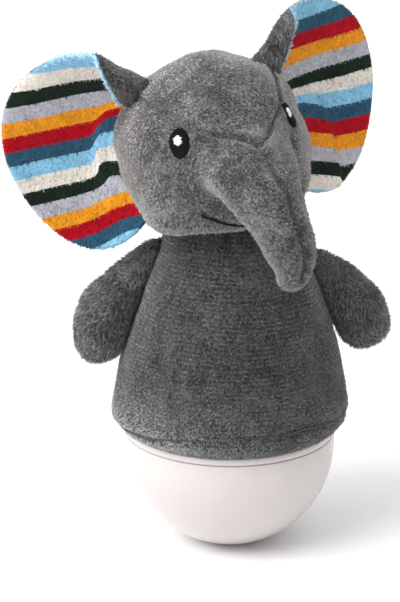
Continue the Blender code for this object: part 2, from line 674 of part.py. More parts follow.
# The middle surface of an ear. t runs along the root from the cheek to the folded flap, s from root to rim.
def ear_point(side, s, t):
    base, out, up, front = ear_axes(side)
    fold = EAR_TURN
    line = EAR_ROOT_LINE
    along = min(t, 0.9999) * (len(line) - 1)
    spot = line[int(along)].lerp(line[int(along) + 1], along - int(along))
    root = head_point(lonlat(side * spot.x, spot.y), -SUNK)
    angle = math.radians(EAR_START + (EAR_END - EAR_START) * min(1.0, t / fold))
    lift = max(0.0, (t - fold) / (1.0 - fold))
    u = EAR_CU + EAR_RU * math.cos(angle) + EAR_SKEW * math.sin(angle) * math.cos(angle)
    v = EAR_CV + EAR_RV * math.sin(angle)
    if lift > 0.0:
        v = v + (FLAP_UP - v) * lift ** 1.2
        u = u + FLAP_OUT * math.sin(math.pi * lift) - FLAP_IN * lift
    rim = base + out * u + up * v
    curl = 0.0
    if t > fold - 0.08:
        part = min(1.0, (t - fold + 0.08) / 0.18)
        curl = 2.0 * EAR_FOLD * part * part * (3.0 - 2.0 * part)
    rim += front * curl
    point = root.lerp(rim, s)
    hollow = math.sin(math.pi * min(1.0, t / fold)) * math.sin(math.pi * s ** 0.8) * EAR_CUP
    return point - front * hollow


def ear_pieces(side, tag):
    frame = head_frame()
    hinge = frame @ head_point(lonlat(side * 100.0, 0.0), 0.0)
    rows = 18
    columns = 5
    small = 0.01
    for layer, sign, look in (("front", 1.0, ((0.85, 0.70, 0.55), 0.95)), ("back", -1.0, ((0.13, 0.13, 0.13), 0.95))):
        bm = bmesh.new()
        sheets = []
        for far in (EAR_GAP / 2, EAR_GAP / 2 + EAR_LAYER):
            grid = []
            for i in range(rows + 1):
                t = i / rows
                line = []
                for j in range(columns + 1):
                    s = j / columns
                    here = ear_point(side, s, t)
                    du = ear_point(side, min(s + small, 1.0), t) - ear_point(side, max(s - small, 0.0), t)
                    dv = ear_point(side, s, min(t + small, 1.0)) - ear_point(side, s, max(t - small, 0.0))
                    normal = du.cross(dv).normalized() * side * -1.0
                    line.append(bm.verts.new(frame @ (here + normal * sign * far)))
                grid.append(line)
            sheets.append(grid)
        for grid in sheets:
            for i in range(rows):
                for j in range(columns):
                    bm.faces.new((grid[i][j], grid[i][j + 1], grid[i + 1][j + 1], grid[i + 1][j]))
        edge = [(0, j) for j in range(columns)] + [(i, columns) for i in range(rows)]
        edge += [(rows, columns - j) for j in range(columns)] + [(rows - i, 0) for i in range(rows)]
        for a, b in zip(edge, edge[1:] + edge[:1]):
            bm.faces.new((sheets[0][a[0]][a[1]], sheets[0][b[0]][b[1]], sheets[1][b[0]][b[1]], sheets[1][a[0]][a[1]]))
        combine(from_bmesh("ear_" + tag + "_" + layer, bm, look, hinge), head_cutter(), "DIFFERENCE")


def arm_rings(side, shrink, segments):
    stations = spline([Vector(s) * MM for s in ARM], 1)
    rings = []
    start = stations[0]
    root = []
    first = (stations[1] - stations[0]).normalized()
    flat = Vector((first.x, 0, first.y))
    cross = Vector((-flat.z, 0, flat.x))
    for j in range(segments):
        turn = 2.0 * math.pi * j / segments
        point = Vector((start.x, 0, start.y)) + cross * (start.z - shrink) * math.sin(turn)
        point += Vector((0, 1, 0)) * (start.z - shrink) * math.cos(turn)
        radius = body_radius(point.z) - SUNK - shrink
        x = math.sqrt(max(radius ** 2 - point.y ** 2, 0.0))
        root.append(Vector((side * x, point.y, point.z)))
    rings.append(root)
    for i, here in enumerate(stations[1:], 1):
        before = stations[i - 1]
        after = stations[min(i + 1, len(stations) - 1)]
        along = Vector((after.x - before.x, 0, after.y - before.y)).normalized()
        cross = Vector((-along.z, 0, along.x))
        ring = []
        for j in range(segments):
            turn = 2.0 * math.pi * j / segments
            point = Vector((here.x, 0, here.y)) + cross * (here.z - shrink) * math.sin(turn)
            point += Vector((0, 1, 0)) * (here.z - shrink) * math.cos(turn)
            reach = math.hypot(point.x, point.y)
            limit = body_radius(point.z) + 2 * GAP + shrink
            if reach < limit:
                point.x = math.sqrt(limit ** 2 - point.y ** 2)
            ring.append(Vector((side * point.x, point.y, point.z)))
        rings.append(ring)
    last = stations[-1]
    along = Vector((last.x - stations[-3].x, 0, last.y - stations[-3].y)).normalized()
    cross = Vector((-along.z, 0, along.x))
    for part in (0.5, 0.85):
        ring = []
        for j in range(segments):
            turn = 2.0 * math.pi * j / segments
            small = (last.z - shrink) * math.sqrt(1.0 - part * part)
            point = Vector((last.x, 0, last.y)) + along * (last.z - shrink) * part
            point += cross * small * math.sin(turn) + Vector((0, 1, 0)) * small * math.cos(turn)
            ring.append(Vector((side * point.x, point.y, point.z)))
        rings.append(ring)
    tip = Vector((last.x, 0, last.y)) + along * (last.z - shrink)
    return rings, Vector((side * tip.x, tip.y, tip.z))


def arm_pieces(side, tag):
    shoulder = (side * SHOULDER_X, 0.0, SHOULDER_Z)
    rings, tip = arm_rings(side, 0.0, 16)
    skin = ring_solid("arm_" + tag + "_skin", rings, tip, ((0.12, 0.12, 0.12), 0.95), shoulder)
    rings, tip = arm_rings(side, SKIN, 16)
    hollow = ring_solid("cutter", rings, tip, None)
    combine(skin, body_cutter(), "DIFFERENCE")
    combine(skin, hollow, "DIFFERENCE")
    rings, tip = arm_rings(side, SKIN + FILL_GAP, 12)
    ring_solid("arm_" + tag + "_stuffing", rings[1:], tip, ((0.85, 0.85, 0.83), 1.0), shoulder)


clear_scene()
base_pieces()
chime_pieces()
body_pieces()
head_pieces()
trunk_pieces()
for side, tag in ((1.0, "left"), (-1.0, "right")):
    ear_pieces(side, tag)
    arm_pieces(side, tag)
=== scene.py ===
# %% [markdown]
# # A stuffed elephant that always stands up again
#
# The toy is a plush cover over a round white base with an iron weight in the bottom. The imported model
# gives us the exact solids, and this lesson dresses them: sewn and stuffed plush, pile, striped ears,
# embroidered eyes and glossy plastic. The scene is in metres, +Z is up and the face looks along -Y.

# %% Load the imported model
import bpy
import bmesh
import math
import numpy as np
from mathutils import Matrix, Vector
from mathutils.bvhtree import BVHTree


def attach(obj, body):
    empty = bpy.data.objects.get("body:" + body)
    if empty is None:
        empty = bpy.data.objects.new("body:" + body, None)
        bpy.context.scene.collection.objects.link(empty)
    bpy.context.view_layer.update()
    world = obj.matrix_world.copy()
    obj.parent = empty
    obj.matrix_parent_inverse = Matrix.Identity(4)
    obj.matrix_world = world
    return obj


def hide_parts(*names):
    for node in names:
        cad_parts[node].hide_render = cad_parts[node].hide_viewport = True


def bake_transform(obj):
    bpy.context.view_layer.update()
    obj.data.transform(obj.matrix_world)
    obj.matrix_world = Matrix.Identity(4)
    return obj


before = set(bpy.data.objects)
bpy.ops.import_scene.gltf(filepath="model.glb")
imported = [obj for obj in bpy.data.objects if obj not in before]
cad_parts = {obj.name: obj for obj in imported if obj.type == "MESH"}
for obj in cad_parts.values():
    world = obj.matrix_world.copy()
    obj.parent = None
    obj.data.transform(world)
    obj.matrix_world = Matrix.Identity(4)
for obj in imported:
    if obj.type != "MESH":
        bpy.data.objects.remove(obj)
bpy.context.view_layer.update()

# %% [markdown]
# **Sizes.** The cover has to fit the solids that it replaces, so the lesson repeats their main sizes
# once, here, and every shape below is worked out from them. Lengths are written in millimetres.

# %% Sizes of the toy
MM = 0.001
BOWL_R = 50.0
FOOT_R = 9.0
BOWL_WALL = 2.2
BOWL_MIDDLE_Z = math.sqrt(BOWL_R ** 2 - FOOT_R ** 2)
RIM_Z = BOWL_MIDDLE_Z + 5.92
LIP_TOP_Z = RIM_Z + 3.9
COLLAR_R = 46.6
COLLAR_Z = LIP_TOP_Z + 9.0
COLLAR_WALL = 1.8
DOME_R = 33.0
DOME_RISE = 39.0
DOME_WALL = 2.0
SPIGOT_DEEP = 3.6
LINING_GAP = 0.6
LINING_OUT = 1.9
HEM_Z = LIP_TOP_Z + 0.3
NECK_R = 26.5
NECK_Z = 164.0
# Marks of the body's outline, from the hem up: radius and height.
BODY_LINE = ((52.3, HEM_Z), (56.2, 69.5), (49.4, 105.0), (39.3, 134.0), (NECK_R, NECK_Z))
SKIN = 1.8

HEAD_MIDDLE = Vector((-9.0, -7.6, 198.6))
HEAD_HALF = (45.5, 43.0, 42.0)
HEAD_LOW = 1.17
HEAD_PEAR = 0.045
JOWL = 4.0
HEAD_YAW = math.radians(12.0)
HEAD_LEAN = math.radians(-8.5)
HEAD_PLACE = (Matrix.Translation(HEAD_MIDDLE) @ Matrix.Rotation(HEAD_YAW, 4, "Z")
              @ Matrix.Rotation(HEAD_LEAN, 4, "Y"))

# %% [markdown]
# **Curves through a few points.** Sewn shapes are drawn by a pattern cutter as smooth lines through a
# handful of marks. A Catmull-Rom curve does the same: it passes through each mark and bends evenly
# between them. Numpy works on all points at once, so the helpers take and give whole arrays.

# %% Curves, directions and soft waves
def smooth_line(marks, steps):
    """A smooth curve through the marks, with so many steps from each to the next."""
    rows = np.array([list(m) for m in marks], float)
    rows = np.vstack([rows[:1], rows, rows[-1:]])
    made = []
    t = (np.arange(steps) / steps)[:, None]
    for a, b, c, d in zip(rows, rows[1:], rows[2:], rows[3:]):
        made.append(0.5 * (2 * b + (c - a) * t + (2 * a - 5 * b + 4 * c - d) * t ** 2
                           + (3 * b - a - 3 * c + d) * t ** 3))
    return np.vstack(made + [rows[-1:]])


def unit(rows):
    return rows / np.maximum(np.linalg.norm(rows, axis=1, keepdims=True), 1e-12)


def lonlat(lon, lat):
    """Directions from degrees round from the front and degrees up."""
    a, b = np.radians(lon), np.radians(lat)
    return np.stack([np.sin(a) * np.cos(b), -np.cos(a) * np.cos(b), np.sin(b)], -1)


def placed(matrix, rows):
    m = np.array(matrix)
    return rows @ m[:3, :3].T + m[:3, 3]


def ramp(values, start, over):
    """0 up to start, then rising to 1 over a length. A negative length makes it rise downwards."""
    return np.clip((values - start) / over, 0, 1)


def hill(away, wide):
    """1 at no distance, and falling softly to nothing over a few times wide."""
    return np.exp(-(away / wide) ** 2)


def swirled(way, up, amount):
    """Bends each direction sideways along the skin, by its own amount."""
    return way + unit(np.cross(way, up)) * amount[:, None]


def waves(rows, size, seed):
    """A smooth value from about -1 to 1 that wanders over a length of about size."""
    rng = np.random.default_rng(seed)
    total = np.zeros(len(rows))
    for _ in range(6):
        way = rng.normal(size=3)
        way *= rng.uniform(0.6, 1.4) * 2 * math.pi / size / np.linalg.norm(way)
        total += np.sin(rows @ way + rng.uniform(0, 2 * math.pi))
    return total / 2.6


def near_line(rows, line):
    """Distance from each point to a line through several points."""
    best = np.full(len(rows), 1e9)
    for a, b in zip(line, line[1:]):
        along = b - a
        t = np.clip((rows - a) @ along / max(along @ along, 1e-12), 0, 1)
        best = np.minimum(best, np.linalg.norm(rows - a - t[:, None] * along, axis=1))
    return best


# %% [markdown]
# **From bmesh to a finished piece.** Each piece is shaped in a bmesh and then becomes one object. It
# stays at the origin with its place in its mesh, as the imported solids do, so that patterns on Object
# coordinates stay where they are. It rides on the solid body that it belongs to. Some operators leave
# their faces in another order each time. Where that is so, they are put in order by place, because the
# pile is strewn face by face and has to fall the same way in every run.

# %% Making a piece
def points_of(mesh, kind="co"):
    flat = np.empty(len(mesh.vertices) * 3)
    mesh.vertices.foreach_get(kind, flat)
    return flat.reshape(-1, 3)


def move_points(mesh, rows):
    mesh.vertices.foreach_set("co", rows.ravel())
    mesh.update()


def linked(name, data):
    made = bpy.data.objects.new(name, data)
    bpy.context.scene.collection.objects.link(made)
    return made


def by_place(item):
    middle = item.co if hasattr(item, "co") else item.calc_center_median()
    return middle.dot(Vector((1.0, 1.7, 2.9)))


def in_order(bm):
    bm.verts.sort(key=by_place)
    bm.faces.sort(key=by_place)


def from_bmesh(name, bm, look):
    mesh = bpy.data.meshes.new(name)
    bm.to_mesh(mesh)
    bm.free()
    mesh.shade_smooth()
    mesh.materials.append(look)
    return linked(name, mesh)


def apply_modifiers(obj):
    depsgraph = bpy.context.evaluated_depsgraph_get()
    mesh = bpy.data.meshes.new_from_object(obj.evaluated_get(depsgraph), preserve_all_data_layers=True,
                                           depsgraph=depsgraph)
    obj.modifiers.clear()
    old = obj.data
    obj.data = mesh
    bpy.data.meshes.remove(old)
    mesh.shade_smooth()


def refine(obj):
    step = obj.modifiers.new("refine", "SUBSURF")
    step.levels = 1
    step.render_levels = 1
    apply_modifiers(obj)


def belongs(obj, body, slot, *nodes):
    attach(obj, body)
    if nodes:
        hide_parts(*nodes)
    print(obj.name, "has", len(obj.data.polygons), "faces")


def store(obj, name, values):
    made = obj.data.attributes.new(name, "FLOAT", "POINT")
    made.data.foreach_set("value", np.asarray(values, np.float32))


def stored(mesh, name):
    values = np.empty(len(mesh.vertices))
    mesh.attributes[name].data.foreach_get("value", values)
    return values


def pushed(obj, amounts):
    """Moves each point along its own normal, by an amount in millimetres."""
    move_points(obj.data, points_of(obj.data) + points_of(obj.data, "normal") * amounts[:, None] * MM)


def relaxed(obj, share, rounds):
    """Draws each point towards the middle of its neighbours, by its own share."""
    mesh = obj.data
    ends = np.empty(len(mesh.edges) * 2, np.int64)
    mesh.edges.foreach_get("vertices", ends)
    a, b = ends.reshape(-1, 2).T
    rows = points_of(mesh)
    count = np.bincount(np.concatenate([a, b]), minlength=len(rows))[:, None]
    for _ in range(rounds):
        total = np.zeros_like(rows)
        np.add.at(total, a, rows[b])
        np.add.at(total, b, rows[a])
        rows = rows + share[:, None] * (total / np.maximum(count, 1) - rows)
    move_points(mesh, rows)


# %% [markdown]
# **Stuffing a piece.** A sewn skin full of fibre is a membrane under pressure: it rounds out between
# its seams. Blender's cloth does that with a pressure and no gravity. The skin is first rebuilt in even
# small squares, because long thin ones wrinkle, and no point may move further than a cap, so the
# toy keeps its measured shape. Held points are the sewn ones.

# %% Cloth that fills out
CLOTH_FRAMES = 14


def rebuild(obj, voxel):
    step = obj.modifiers.new("squares", "REMESH")
    step.mode = "VOXEL"
    step.voxel_size = voxel * MM
    apply_modifiers(obj)


def stuffed(obj, pressure, cap, held):
    before = points_of(obj.data)
    group = obj.vertex_groups.new(name="held")
    for i in np.flatnonzero(held(before / MM)):
        group.add([int(i)], 1.0, "REPLACE")
    cloth = obj.modifiers.new("cloth", "CLOTH")
    cloth.settings.use_pressure = True
    cloth.settings.uniform_pressure_force = pressure
    cloth.settings.quality = 4
    cloth.settings.mass = 0.15
    cloth.settings.tension_stiffness = 12.0
    cloth.settings.compression_stiffness = 12.0
    cloth.settings.bending_stiffness = 0.3
    cloth.settings.vertex_group_mass = "held"
    cloth.settings.effector_weights.gravity = 0.0
    cloth.collision_settings.use_collision = False
    cloth.point_cache.frame_end = CLOTH_FRAMES
    scene = bpy.context.scene
    for i in range(1, CLOTH_FRAMES + 1):
        scene.frame_set(i)
    apply_modifiers(obj)
    moved = points_of(obj.data) - before
    far = np.linalg.norm(moved, axis=1, keepdims=True)
    moved *= np.minimum(1.0, cap * MM / np.maximum(far, 1e-9))
    move_points(obj.data, before + moved)
    scene.frame_set(1)
    obj.vertex_groups.clear()
    print(obj.name, "filled out by up to", round(float(np.linalg.norm(moved, axis=1).max() / MM), 2), "mm")


# %% [markdown]
# # Finishes
#
# ** Pile shading.** The pile is painted darker at its roots, as painted shade between the strands, and
# paler at its tips, as painted light on them. Each strand has its own grey, and brushing leaves paler and
# darker patches. One node group works that out for every fabric on the toy, from the fabric's colour, so
# that the grey, the striped and the longer pile all agree.

# %% Node helpers and the pile group
def group_of(name, inputs, outputs):
    tree = bpy.data.node_groups.new(name, "ShaderNodeTree")
    for label, kind, value in inputs:
        socket = tree.interface.new_socket(label, in_out="INPUT", socket_type=kind)
        if value is not None:
            socket.default_value = value
    for label, kind in outputs:
        tree.interface.new_socket(label, in_out="OUTPUT", socket_type=kind)
    return tree, tree.nodes.new("NodeGroupInput"), tree.nodes.new("NodeGroupOutput")


def math_node(tree, operation, a, b=None, clamp=False):
    node = tree.nodes.new("ShaderNodeMath")
    node.operation = operation
    node.use_clamp = clamp
    for socket, value in zip(node.inputs, (a, b)):
        if hasattr(value, "is_output"):
            tree.links.new(value, socket)
        elif value is not None:
            socket.default_value = value
    return node.outputs[0]


def ranged(tree, value, low, high, to_low, to_high, clamp=True):
    node = tree.nodes.new("ShaderNodeMapRange")
    node.clamp = clamp
    tree.links.new(value, node.inputs["Value"])
    for label, number in (("From Min", low), ("From Max", high), ("To Min", to_low), ("To Max", to_high)):
        node.inputs[label].default_value = number
    return node.outputs["Result"]


def noise_node(tree, vector, scale, detail, rough):
    node = tree.nodes.new("ShaderNodeTexNoise")
    tree.links.new(vector, node.inputs["Vector"])
    node.inputs["Scale"].default_value = scale
    node.inputs["Detail"].default_value = detail
    node.inputs["Roughness"].default_value = rough
    return node.outputs["Fac"]


def scaled_colour(tree, colour, amount):
    node = tree.nodes.new("ShaderNodeMix")
    node.data_type = "RGBA"
    node.blend_type = "MULTIPLY"
    node.inputs["Factor"].default_value = 1.0
    tree.links.new(colour, node.inputs[6])
    tree.links.new(amount, node.inputs[7])
    return node.outputs[2]


TONE_SPAN = (-0.66, 0.72)
ROOT_SHADE_TIP_LIGHT_SPAN = (-0.58, 0.34)
FLECK = 0.28
DARKEST = 0.12


def pile_group():
    tree, start, end = group_of("pile with painted light and shade", [
        ("Vector", "NodeSocketVector", None), ("Color", "NodeSocketColor", (0.2, 0.2, 0.2, 1.0)),
        ("Tone", "NodeSocketFloat", 0.5), ("Tip", "NodeSocketFloat", 0.4),
        ("Patches", "NodeSocketFloat", 0.25), ("Contrast", "NodeSocketFloat", 1.0)],
        [("Color", "NodeSocketColor"), ("Height", "NodeSocketFloat")])
    vector = start.outputs["Vector"]
    broad = ranged(tree, noise_node(tree, vector, 48.0, 3.0, 0.55), 0.38, 0.62, -0.6, 0.6)
    close = ranged(tree, noise_node(tree, vector, 150.0, 2.0, 0.6), 0.34, 0.66, -0.8, 0.8)
    fleck = ranged(tree, noise_node(tree, vector, 850.0, 2.0, 0.6), 0.3, 0.7, -1.0, 1.0)
    patch = math_node(tree, "MULTIPLY", math_node(tree, "ADD", broad, close), start.outputs["Patches"])
    fleck = math_node(tree, "MULTIPLY", fleck, FLECK)
    tone = ranged(tree, start.outputs["Tone"], 0.0, 1.0, *TONE_SPAN, False)
    # Painted shade at each strand's root and painted light at its tip, by its height.
    tip = ranged(tree, start.outputs["Tip"], 0.0, 1.0, *ROOT_SHADE_TIP_LIGHT_SPAN)
    total = math_node(tree, "ADD", math_node(tree, "ADD", patch, fleck), math_node(tree, "ADD", tone, tip))
    total = math_node(tree, "MULTIPLY", total, start.outputs["Contrast"])
    total = math_node(tree, "MAXIMUM", math_node(tree, "ADD", total, 1.0), DARKEST)
    tree.links.new(scaled_colour(tree, start.outputs["Color"], total), end.inputs["Color"])
    fine = noise_node(tree, vector, 1500.0, 1.0, 0.5)
    tree.links.new(math_node(tree, "ADD", fine, fleck), end.inputs["Height"])
    return tree


PILE = pile_group()


# %% [markdown]
# **The striped cloth.** Seven colours repeat across the ear. Each piece of striped cloth carries a
# value named band that counts the stripes, and a ramp with hard steps turns it into a colour. The
# count follows the cloth through its pleat, so the stripes jog there as they do on the real ear.

# %% Striped cloth group
STRIPES = ((0.29, 0.62, 0.86), (0.90, 0.84, 0.77), (0.010, 0.022, 0.013), (0.53, 0.52, 0.58),
           (0.95, 0.37, 0.02), (0.50, 0.002, 0.014), (0.032, 0.105, 0.175))


def stripe_group():
    tree, start, end = group_of("striped cloth", [("Band", "NodeSocketFloat", 0.0)],
                                [("Color", "NodeSocketColor")])
    rounds = math_node(tree, "DIVIDE", start.outputs["Band"], float(len(STRIPES)))
    steps_node = tree.nodes.new("ShaderNodeValToRGB")
    steps_node.color_ramp.interpolation = "CONSTANT"
    steps = steps_node.color_ramp.elements
    for i, colour in enumerate(STRIPES):
        step = steps[i] if i < len(steps) else steps.new(i / len(STRIPES))
        step.position = i / len(STRIPES)
        step.color = (*colour, 1.0)
    tree.links.new(math_node(tree, "FRACT", rounds), steps_node.inputs["Fac"])
    tree.links.new(steps_node.outputs["Color"], end.inputs["Color"])
    return tree


STRIPED = stripe_group()


# %% [markdown]
# **Fabric looks.** Each fabric has two materials with the same colour: one for the cloth, with a small
# bump, and one for the strands of its pile, which read their own tone and their height from the piece.

# %% Fabric materials
def attribute_of(tree, name):
    node = tree.nodes.new("ShaderNodeAttribute")
    node.attribute_name = name
    return node.outputs["Fac"]


def blank(name, roughness, **sockets):
    look = bpy.data.materials.new(name)
    look.use_nodes = True
    tree = look.node_tree
    shader = tree.nodes["Principled BSDF"]
    shader.inputs["Roughness"].default_value = roughness
    for label, value in sockets.items():
        shader.inputs[label.replace("_", " ")].default_value = value
    place = tree.nodes.new("ShaderNodeTexCoord").outputs["Object"]
    return look, tree, shader, place


def bumped(tree, shader, height, distance, strength=1.0):
    bump = tree.nodes.new("ShaderNodeBump")
    bump.inputs["Distance"].default_value = distance
    bump.inputs["Strength"].default_value = strength
    tree.links.new(height, bump.inputs["Height"])
    tree.links.new(bump.outputs["Normal"], shader.inputs["Normal"])


def plush_look(name, colour, strands, patches, sheen, contrast):
    look, tree, shader, place = blank(name, 0.92, Sheen_Weight=sheen, Sheen_Roughness=0.45,
                                      Specular_IOR_Level=0.12)
    shader.inputs["Sheen Tint"].default_value = (1.0, 0.97, 0.94, 1.0)
    pile = tree.nodes.new("ShaderNodeGroup")
    pile.node_tree = PILE
    pile.inputs["Patches"].default_value = patches
    pile.inputs["Contrast"].default_value = contrast
    tree.links.new(place, pile.inputs["Vector"])
    if colour is None:
        stripes = tree.nodes.new("ShaderNodeGroup")
        stripes.node_tree = STRIPED
        tree.links.new(attribute_of(tree, "band"), stripes.inputs["Band"])
        tree.links.new(stripes.outputs["Color"], pile.inputs["Color"])
    else:
        pile.inputs["Color"].default_value = (*colour, 1.0)
    if strands:
        tree.links.new(attribute_of(tree, "tone"), pile.inputs["Tone"])
        tree.links.new(attribute_of(tree, "tip"), pile.inputs["Tip"])
    else:
        # The cloth under the pile is painted darker: the painted shade of the strands' roots.
        pile.inputs["Tip"].default_value = 0.1
        pile.inputs["Tone"].default_value = 0.4
        bumped(tree, shader, pile.outputs["Height"], 0.0004, 0.8)
    tree.links.new(pile.outputs["Color"], shader.inputs["Base Color"])
    return look


HEAD_GREY = (0.262, 0.255, 0.254)
BODY_GREY = (0.142, 0.143, 0.147)
ARM_GREY = (0.164, 0.163, 0.164)
EAR_GREY = (0.215, 0.217, 0.222)
SKY = (0.50, 0.74, 0.90)
looks = {}
for key, colour, patches, sheen, contrast in (
        ("head", HEAD_GREY, 0.15, 0.6, 1.25), ("body", BODY_GREY, 0.10, 0.3, 1.2),
        ("arm", ARM_GREY, 0.18, 0.5, 1.15), ("ear", EAR_GREY, 0.20, 0.4, 1.1),
        ("stripe", None, 0.15, 0.08, 0.40), ("rim", SKY, 0.1, 0.2, 0.3)):
    looks[key] = plush_look(key + " plush", colour, False, patches, sheen, contrast)
    looks[key + " pile"] = plush_look(key + " pile", colour, True, patches, sheen, contrast)
print("fabric looks:", sorted(looks))

# %% [markdown]
# **Plastic, metal, thread and lining.** The base is glossy moulded plastic: nearly smooth, with the
# faint unevenness and fine scuffs that handling leaves. The metal parts hide inside, and show only
# when the base is opened, but each still has its own surface. Thread is satin, lining is a plain weave.

# %% Hard and thin finishes
def surface_group():
    tree, start, end = group_of("handled surface", [
        ("Vector", "NodeSocketVector", None), ("Color", "NodeSocketColor", (0.8, 0.8, 0.8, 1.0)),
        ("Roughness", "NodeSocketFloat", 0.3), ("Size", "NodeSocketFloat", 60.0),
        ("Amount", "NodeSocketFloat", 0.1)],
        [("Color", "NodeSocketColor"), ("Roughness", "NodeSocketFloat"), ("Height", "NodeSocketFloat")])
    noise = tree.nodes.new("ShaderNodeTexNoise")
    tree.links.new(start.outputs["Vector"], noise.inputs["Vector"])
    tree.links.new(start.outputs["Size"], noise.inputs["Scale"])
    noise.inputs["Detail"].default_value = 5.0
    part = ranged(tree, noise.outputs["Fac"], 0.3, 0.7, -1.0, 1.0)
    part = math_node(tree, "MULTIPLY", part, start.outputs["Amount"])
    bright = math_node(tree, "ADD", math_node(tree, "MULTIPLY", part, 0.5), 1.0)
    tree.links.new(scaled_colour(tree, start.outputs["Color"], bright), end.inputs["Color"])
    tree.links.new(math_node(tree, "ADD", start.outputs["Roughness"], part, True), end.inputs["Roughness"])
    tree.links.new(noise.outputs["Fac"], end.inputs["Height"])
    return tree


HANDLED = surface_group()


def hard_look(name, colour, roughness, metallic, size, amount, bump, **sockets):
    look, tree, shader, place = blank(name, roughness, **sockets)
    shader.inputs["Metallic"].default_value = metallic
    group = tree.nodes.new("ShaderNodeGroup")
    group.node_tree = HANDLED
    group.inputs["Color"].default_value = (*colour, 1.0)
    group.inputs["Roughness"].default_value = roughness
    group.inputs["Size"].default_value = size
    group.inputs["Amount"].default_value = amount
    tree.links.new(place, group.inputs["Vector"])
    tree.links.new(group.outputs["Color"], shader.inputs["Base Color"])
    tree.links.new(group.outputs["Roughness"], shader.inputs["Roughness"])
    bumped(tree, shader, group.outputs["Height"], bump)
    return look


white_plastic = hard_look("white plastic", (0.56, 0.515, 0.505), 0.20, 0.0, 70.0, 0.05, 0.00003,
                          Coat_Weight=0.35, Coat_Roughness=0.08)
cast_iron = hard_look("cast iron", (0.10, 0.10, 0.11), 0.62, 0.8, 500.0, 0.25, 0.0003)
steel = hard_look("bright steel", (0.60, 0.61, 0.63), 0.28, 1.0, 900.0, 0.12, 0.00002)
brass = hard_look("turned brass", (0.72, 0.50, 0.20), 0.26, 1.0, 700.0, 0.12, 0.00002)
black_thread = hard_look("black thread", (0.008, 0.006, 0.008), 0.62, 0.0, 2500.0, 0.2, 0.00005,
                         Specular_IOR_Level=0.06)
white_thread = hard_look("white thread", (0.86, 0.83, 0.84), 0.45, 0.0, 2500.0, 0.1, 0.00005)
# Dark thread: the hem's stitches, and painted shade laid in the face seams.
dark_thread_and_seam_shade = hard_look("dark thread and seam shade", (0.05, 0.05, 0.052), 0.7, 0.0, 2500.0, 0.2, 0.00005)


WEAVE_R = 0.047


def weave_look(name, colour, per_metre):
    """Threads up and around the toy, whose lining lies about WEAVE_R metres from its axis."""
    look, tree, shader, place = blank(name, 0.9, Sheen_Weight=0.2)
    split = tree.nodes.new("ShaderNodeSeparateXYZ")
    tree.links.new(place, split.inputs["Vector"])
    rows = math_node(tree, "SINE", math_node(tree, "MULTIPLY", split.outputs["Z"], per_metre))
    angle = math_node(tree, "ARCTAN2", split.outputs["Y"], split.outputs["X"])
    columns = math_node(tree, "SINE", math_node(tree, "MULTIPLY", angle, per_metre * WEAVE_R))
    cloth = ranged(tree, math_node(tree, "MULTIPLY", rows, columns), -1.0, 1.0, 0.82, 1.0)
    ground = tree.nodes.new("ShaderNodeRGB")
    ground.outputs[0].default_value = (*colour, 1.0)
    tree.links.new(scaled_colour(tree, ground.outputs[0], cloth), shader.inputs["Base Color"])
    bumped(tree, shader, cloth, 0.0003)
    return look


lining_cloth = weave_look("lining weave", (0.76, 0.75, 0.72), 5200.0)
elastic_cloth = weave_look("elastic weave", (0.72, 0.72, 0.69), 4200.0)

# %% Finishes of the hidden metal parts
for node_name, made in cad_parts.items():
    chosen = None
    if "screw" in node_name or node_name in ("chime_frame", "chime_bail") or "chime_rod" in node_name:
        chosen = steel
    elif node_name == "chime_clapper":
        chosen = brass
    elif node_name == "counterweight":
        chosen = cast_iron
    if chosen is not None:
        made.data.materials.clear()
        made.data.materials.append(chosen)
print("metal finishes set")


# %% [markdown]
# # The white base
#
# The base is two moulded shells that meet at a fine line, with a lip above it. Turned shapes like this
# are drawn as half an outline and spun about the axis. The outline is a closed line, so the spin gives
# a shell with real walls and no open edge.

# %% Spin an outline
def spun(name, outline, look, steps=144):
    bm = bmesh.new()
    marks = [bm.verts.new((max(r, 0.0) * MM, 0.0, z * MM)) for r, z in outline]
    lines = [bm.edges.new((a, b)) for a, b in zip(marks, marks[1:] + marks[:1])]
    bmesh.ops.spin(bm, geom=marks + lines, cent=(0, 0, 0), axis=(0, 0, 1), steps=steps,
                   angle=2 * math.pi, use_merge=True)
    bmesh.ops.remove_doubles(bm, verts=bm.verts, dist=0.000002)
    for face in [f for f in bm.faces if f.calc_area() < 1e-13]:
        bm.faces.remove(face)
    bmesh.ops.recalc_face_normals(bm, faces=bm.faces)
    in_order(bm)
    return from_bmesh(name, bm, look)


def arc(radius, middle, start, end, steps):
    """Points of an arc about (0, middle), from the lowest point outwards, in degrees."""
    turn = np.radians(np.linspace(start, end, steps + 1))
    return [(radius * math.sin(a), middle - radius * math.cos(a)) for a in turn]


foot_turn = math.degrees(math.asin(FOOT_R / BOWL_R))
inner_r = BOWL_R - BOWL_WALL
outline = [(0.0, 0.0), (FOOT_R - 0.6, 0.0)] + arc(BOWL_R, BOWL_MIDDLE_Z, foot_turn + 0.6, 90.0, 30)
outline += [(BOWL_R, RIM_Z - 0.55), (BOWL_R - 0.12, RIM_Z - 0.2), (BOWL_R - 0.5, RIM_Z), (inner_r, RIM_Z)]
outline += arc(inner_r, BOWL_MIDDLE_Z, 90.0, 0.0, 24)
shell = spun("base_shell", outline, white_plastic)
shell.data.set_sharp_from_angle(angle=math.radians(35))
belongs(shell, "base", "white_plastic", "base_bowl")


# %% [markdown]
# The cap closes the base. From outside in, it has the lip, the collar that the elastic grips, the floor
# that the screws go through, and the dome that leaves room for the chime.

# %% The cap
def dome_line(radius, foot_z, steps):
    """The dome's outline from its top to its foot."""
    turn = np.radians(np.linspace(0.0, 90.0, steps + 1))
    return [(radius * math.sin(a) ** 0.8, foot_z + DOME_RISE * max(math.cos(a), 0.0) ** 0.7) for a in turn]


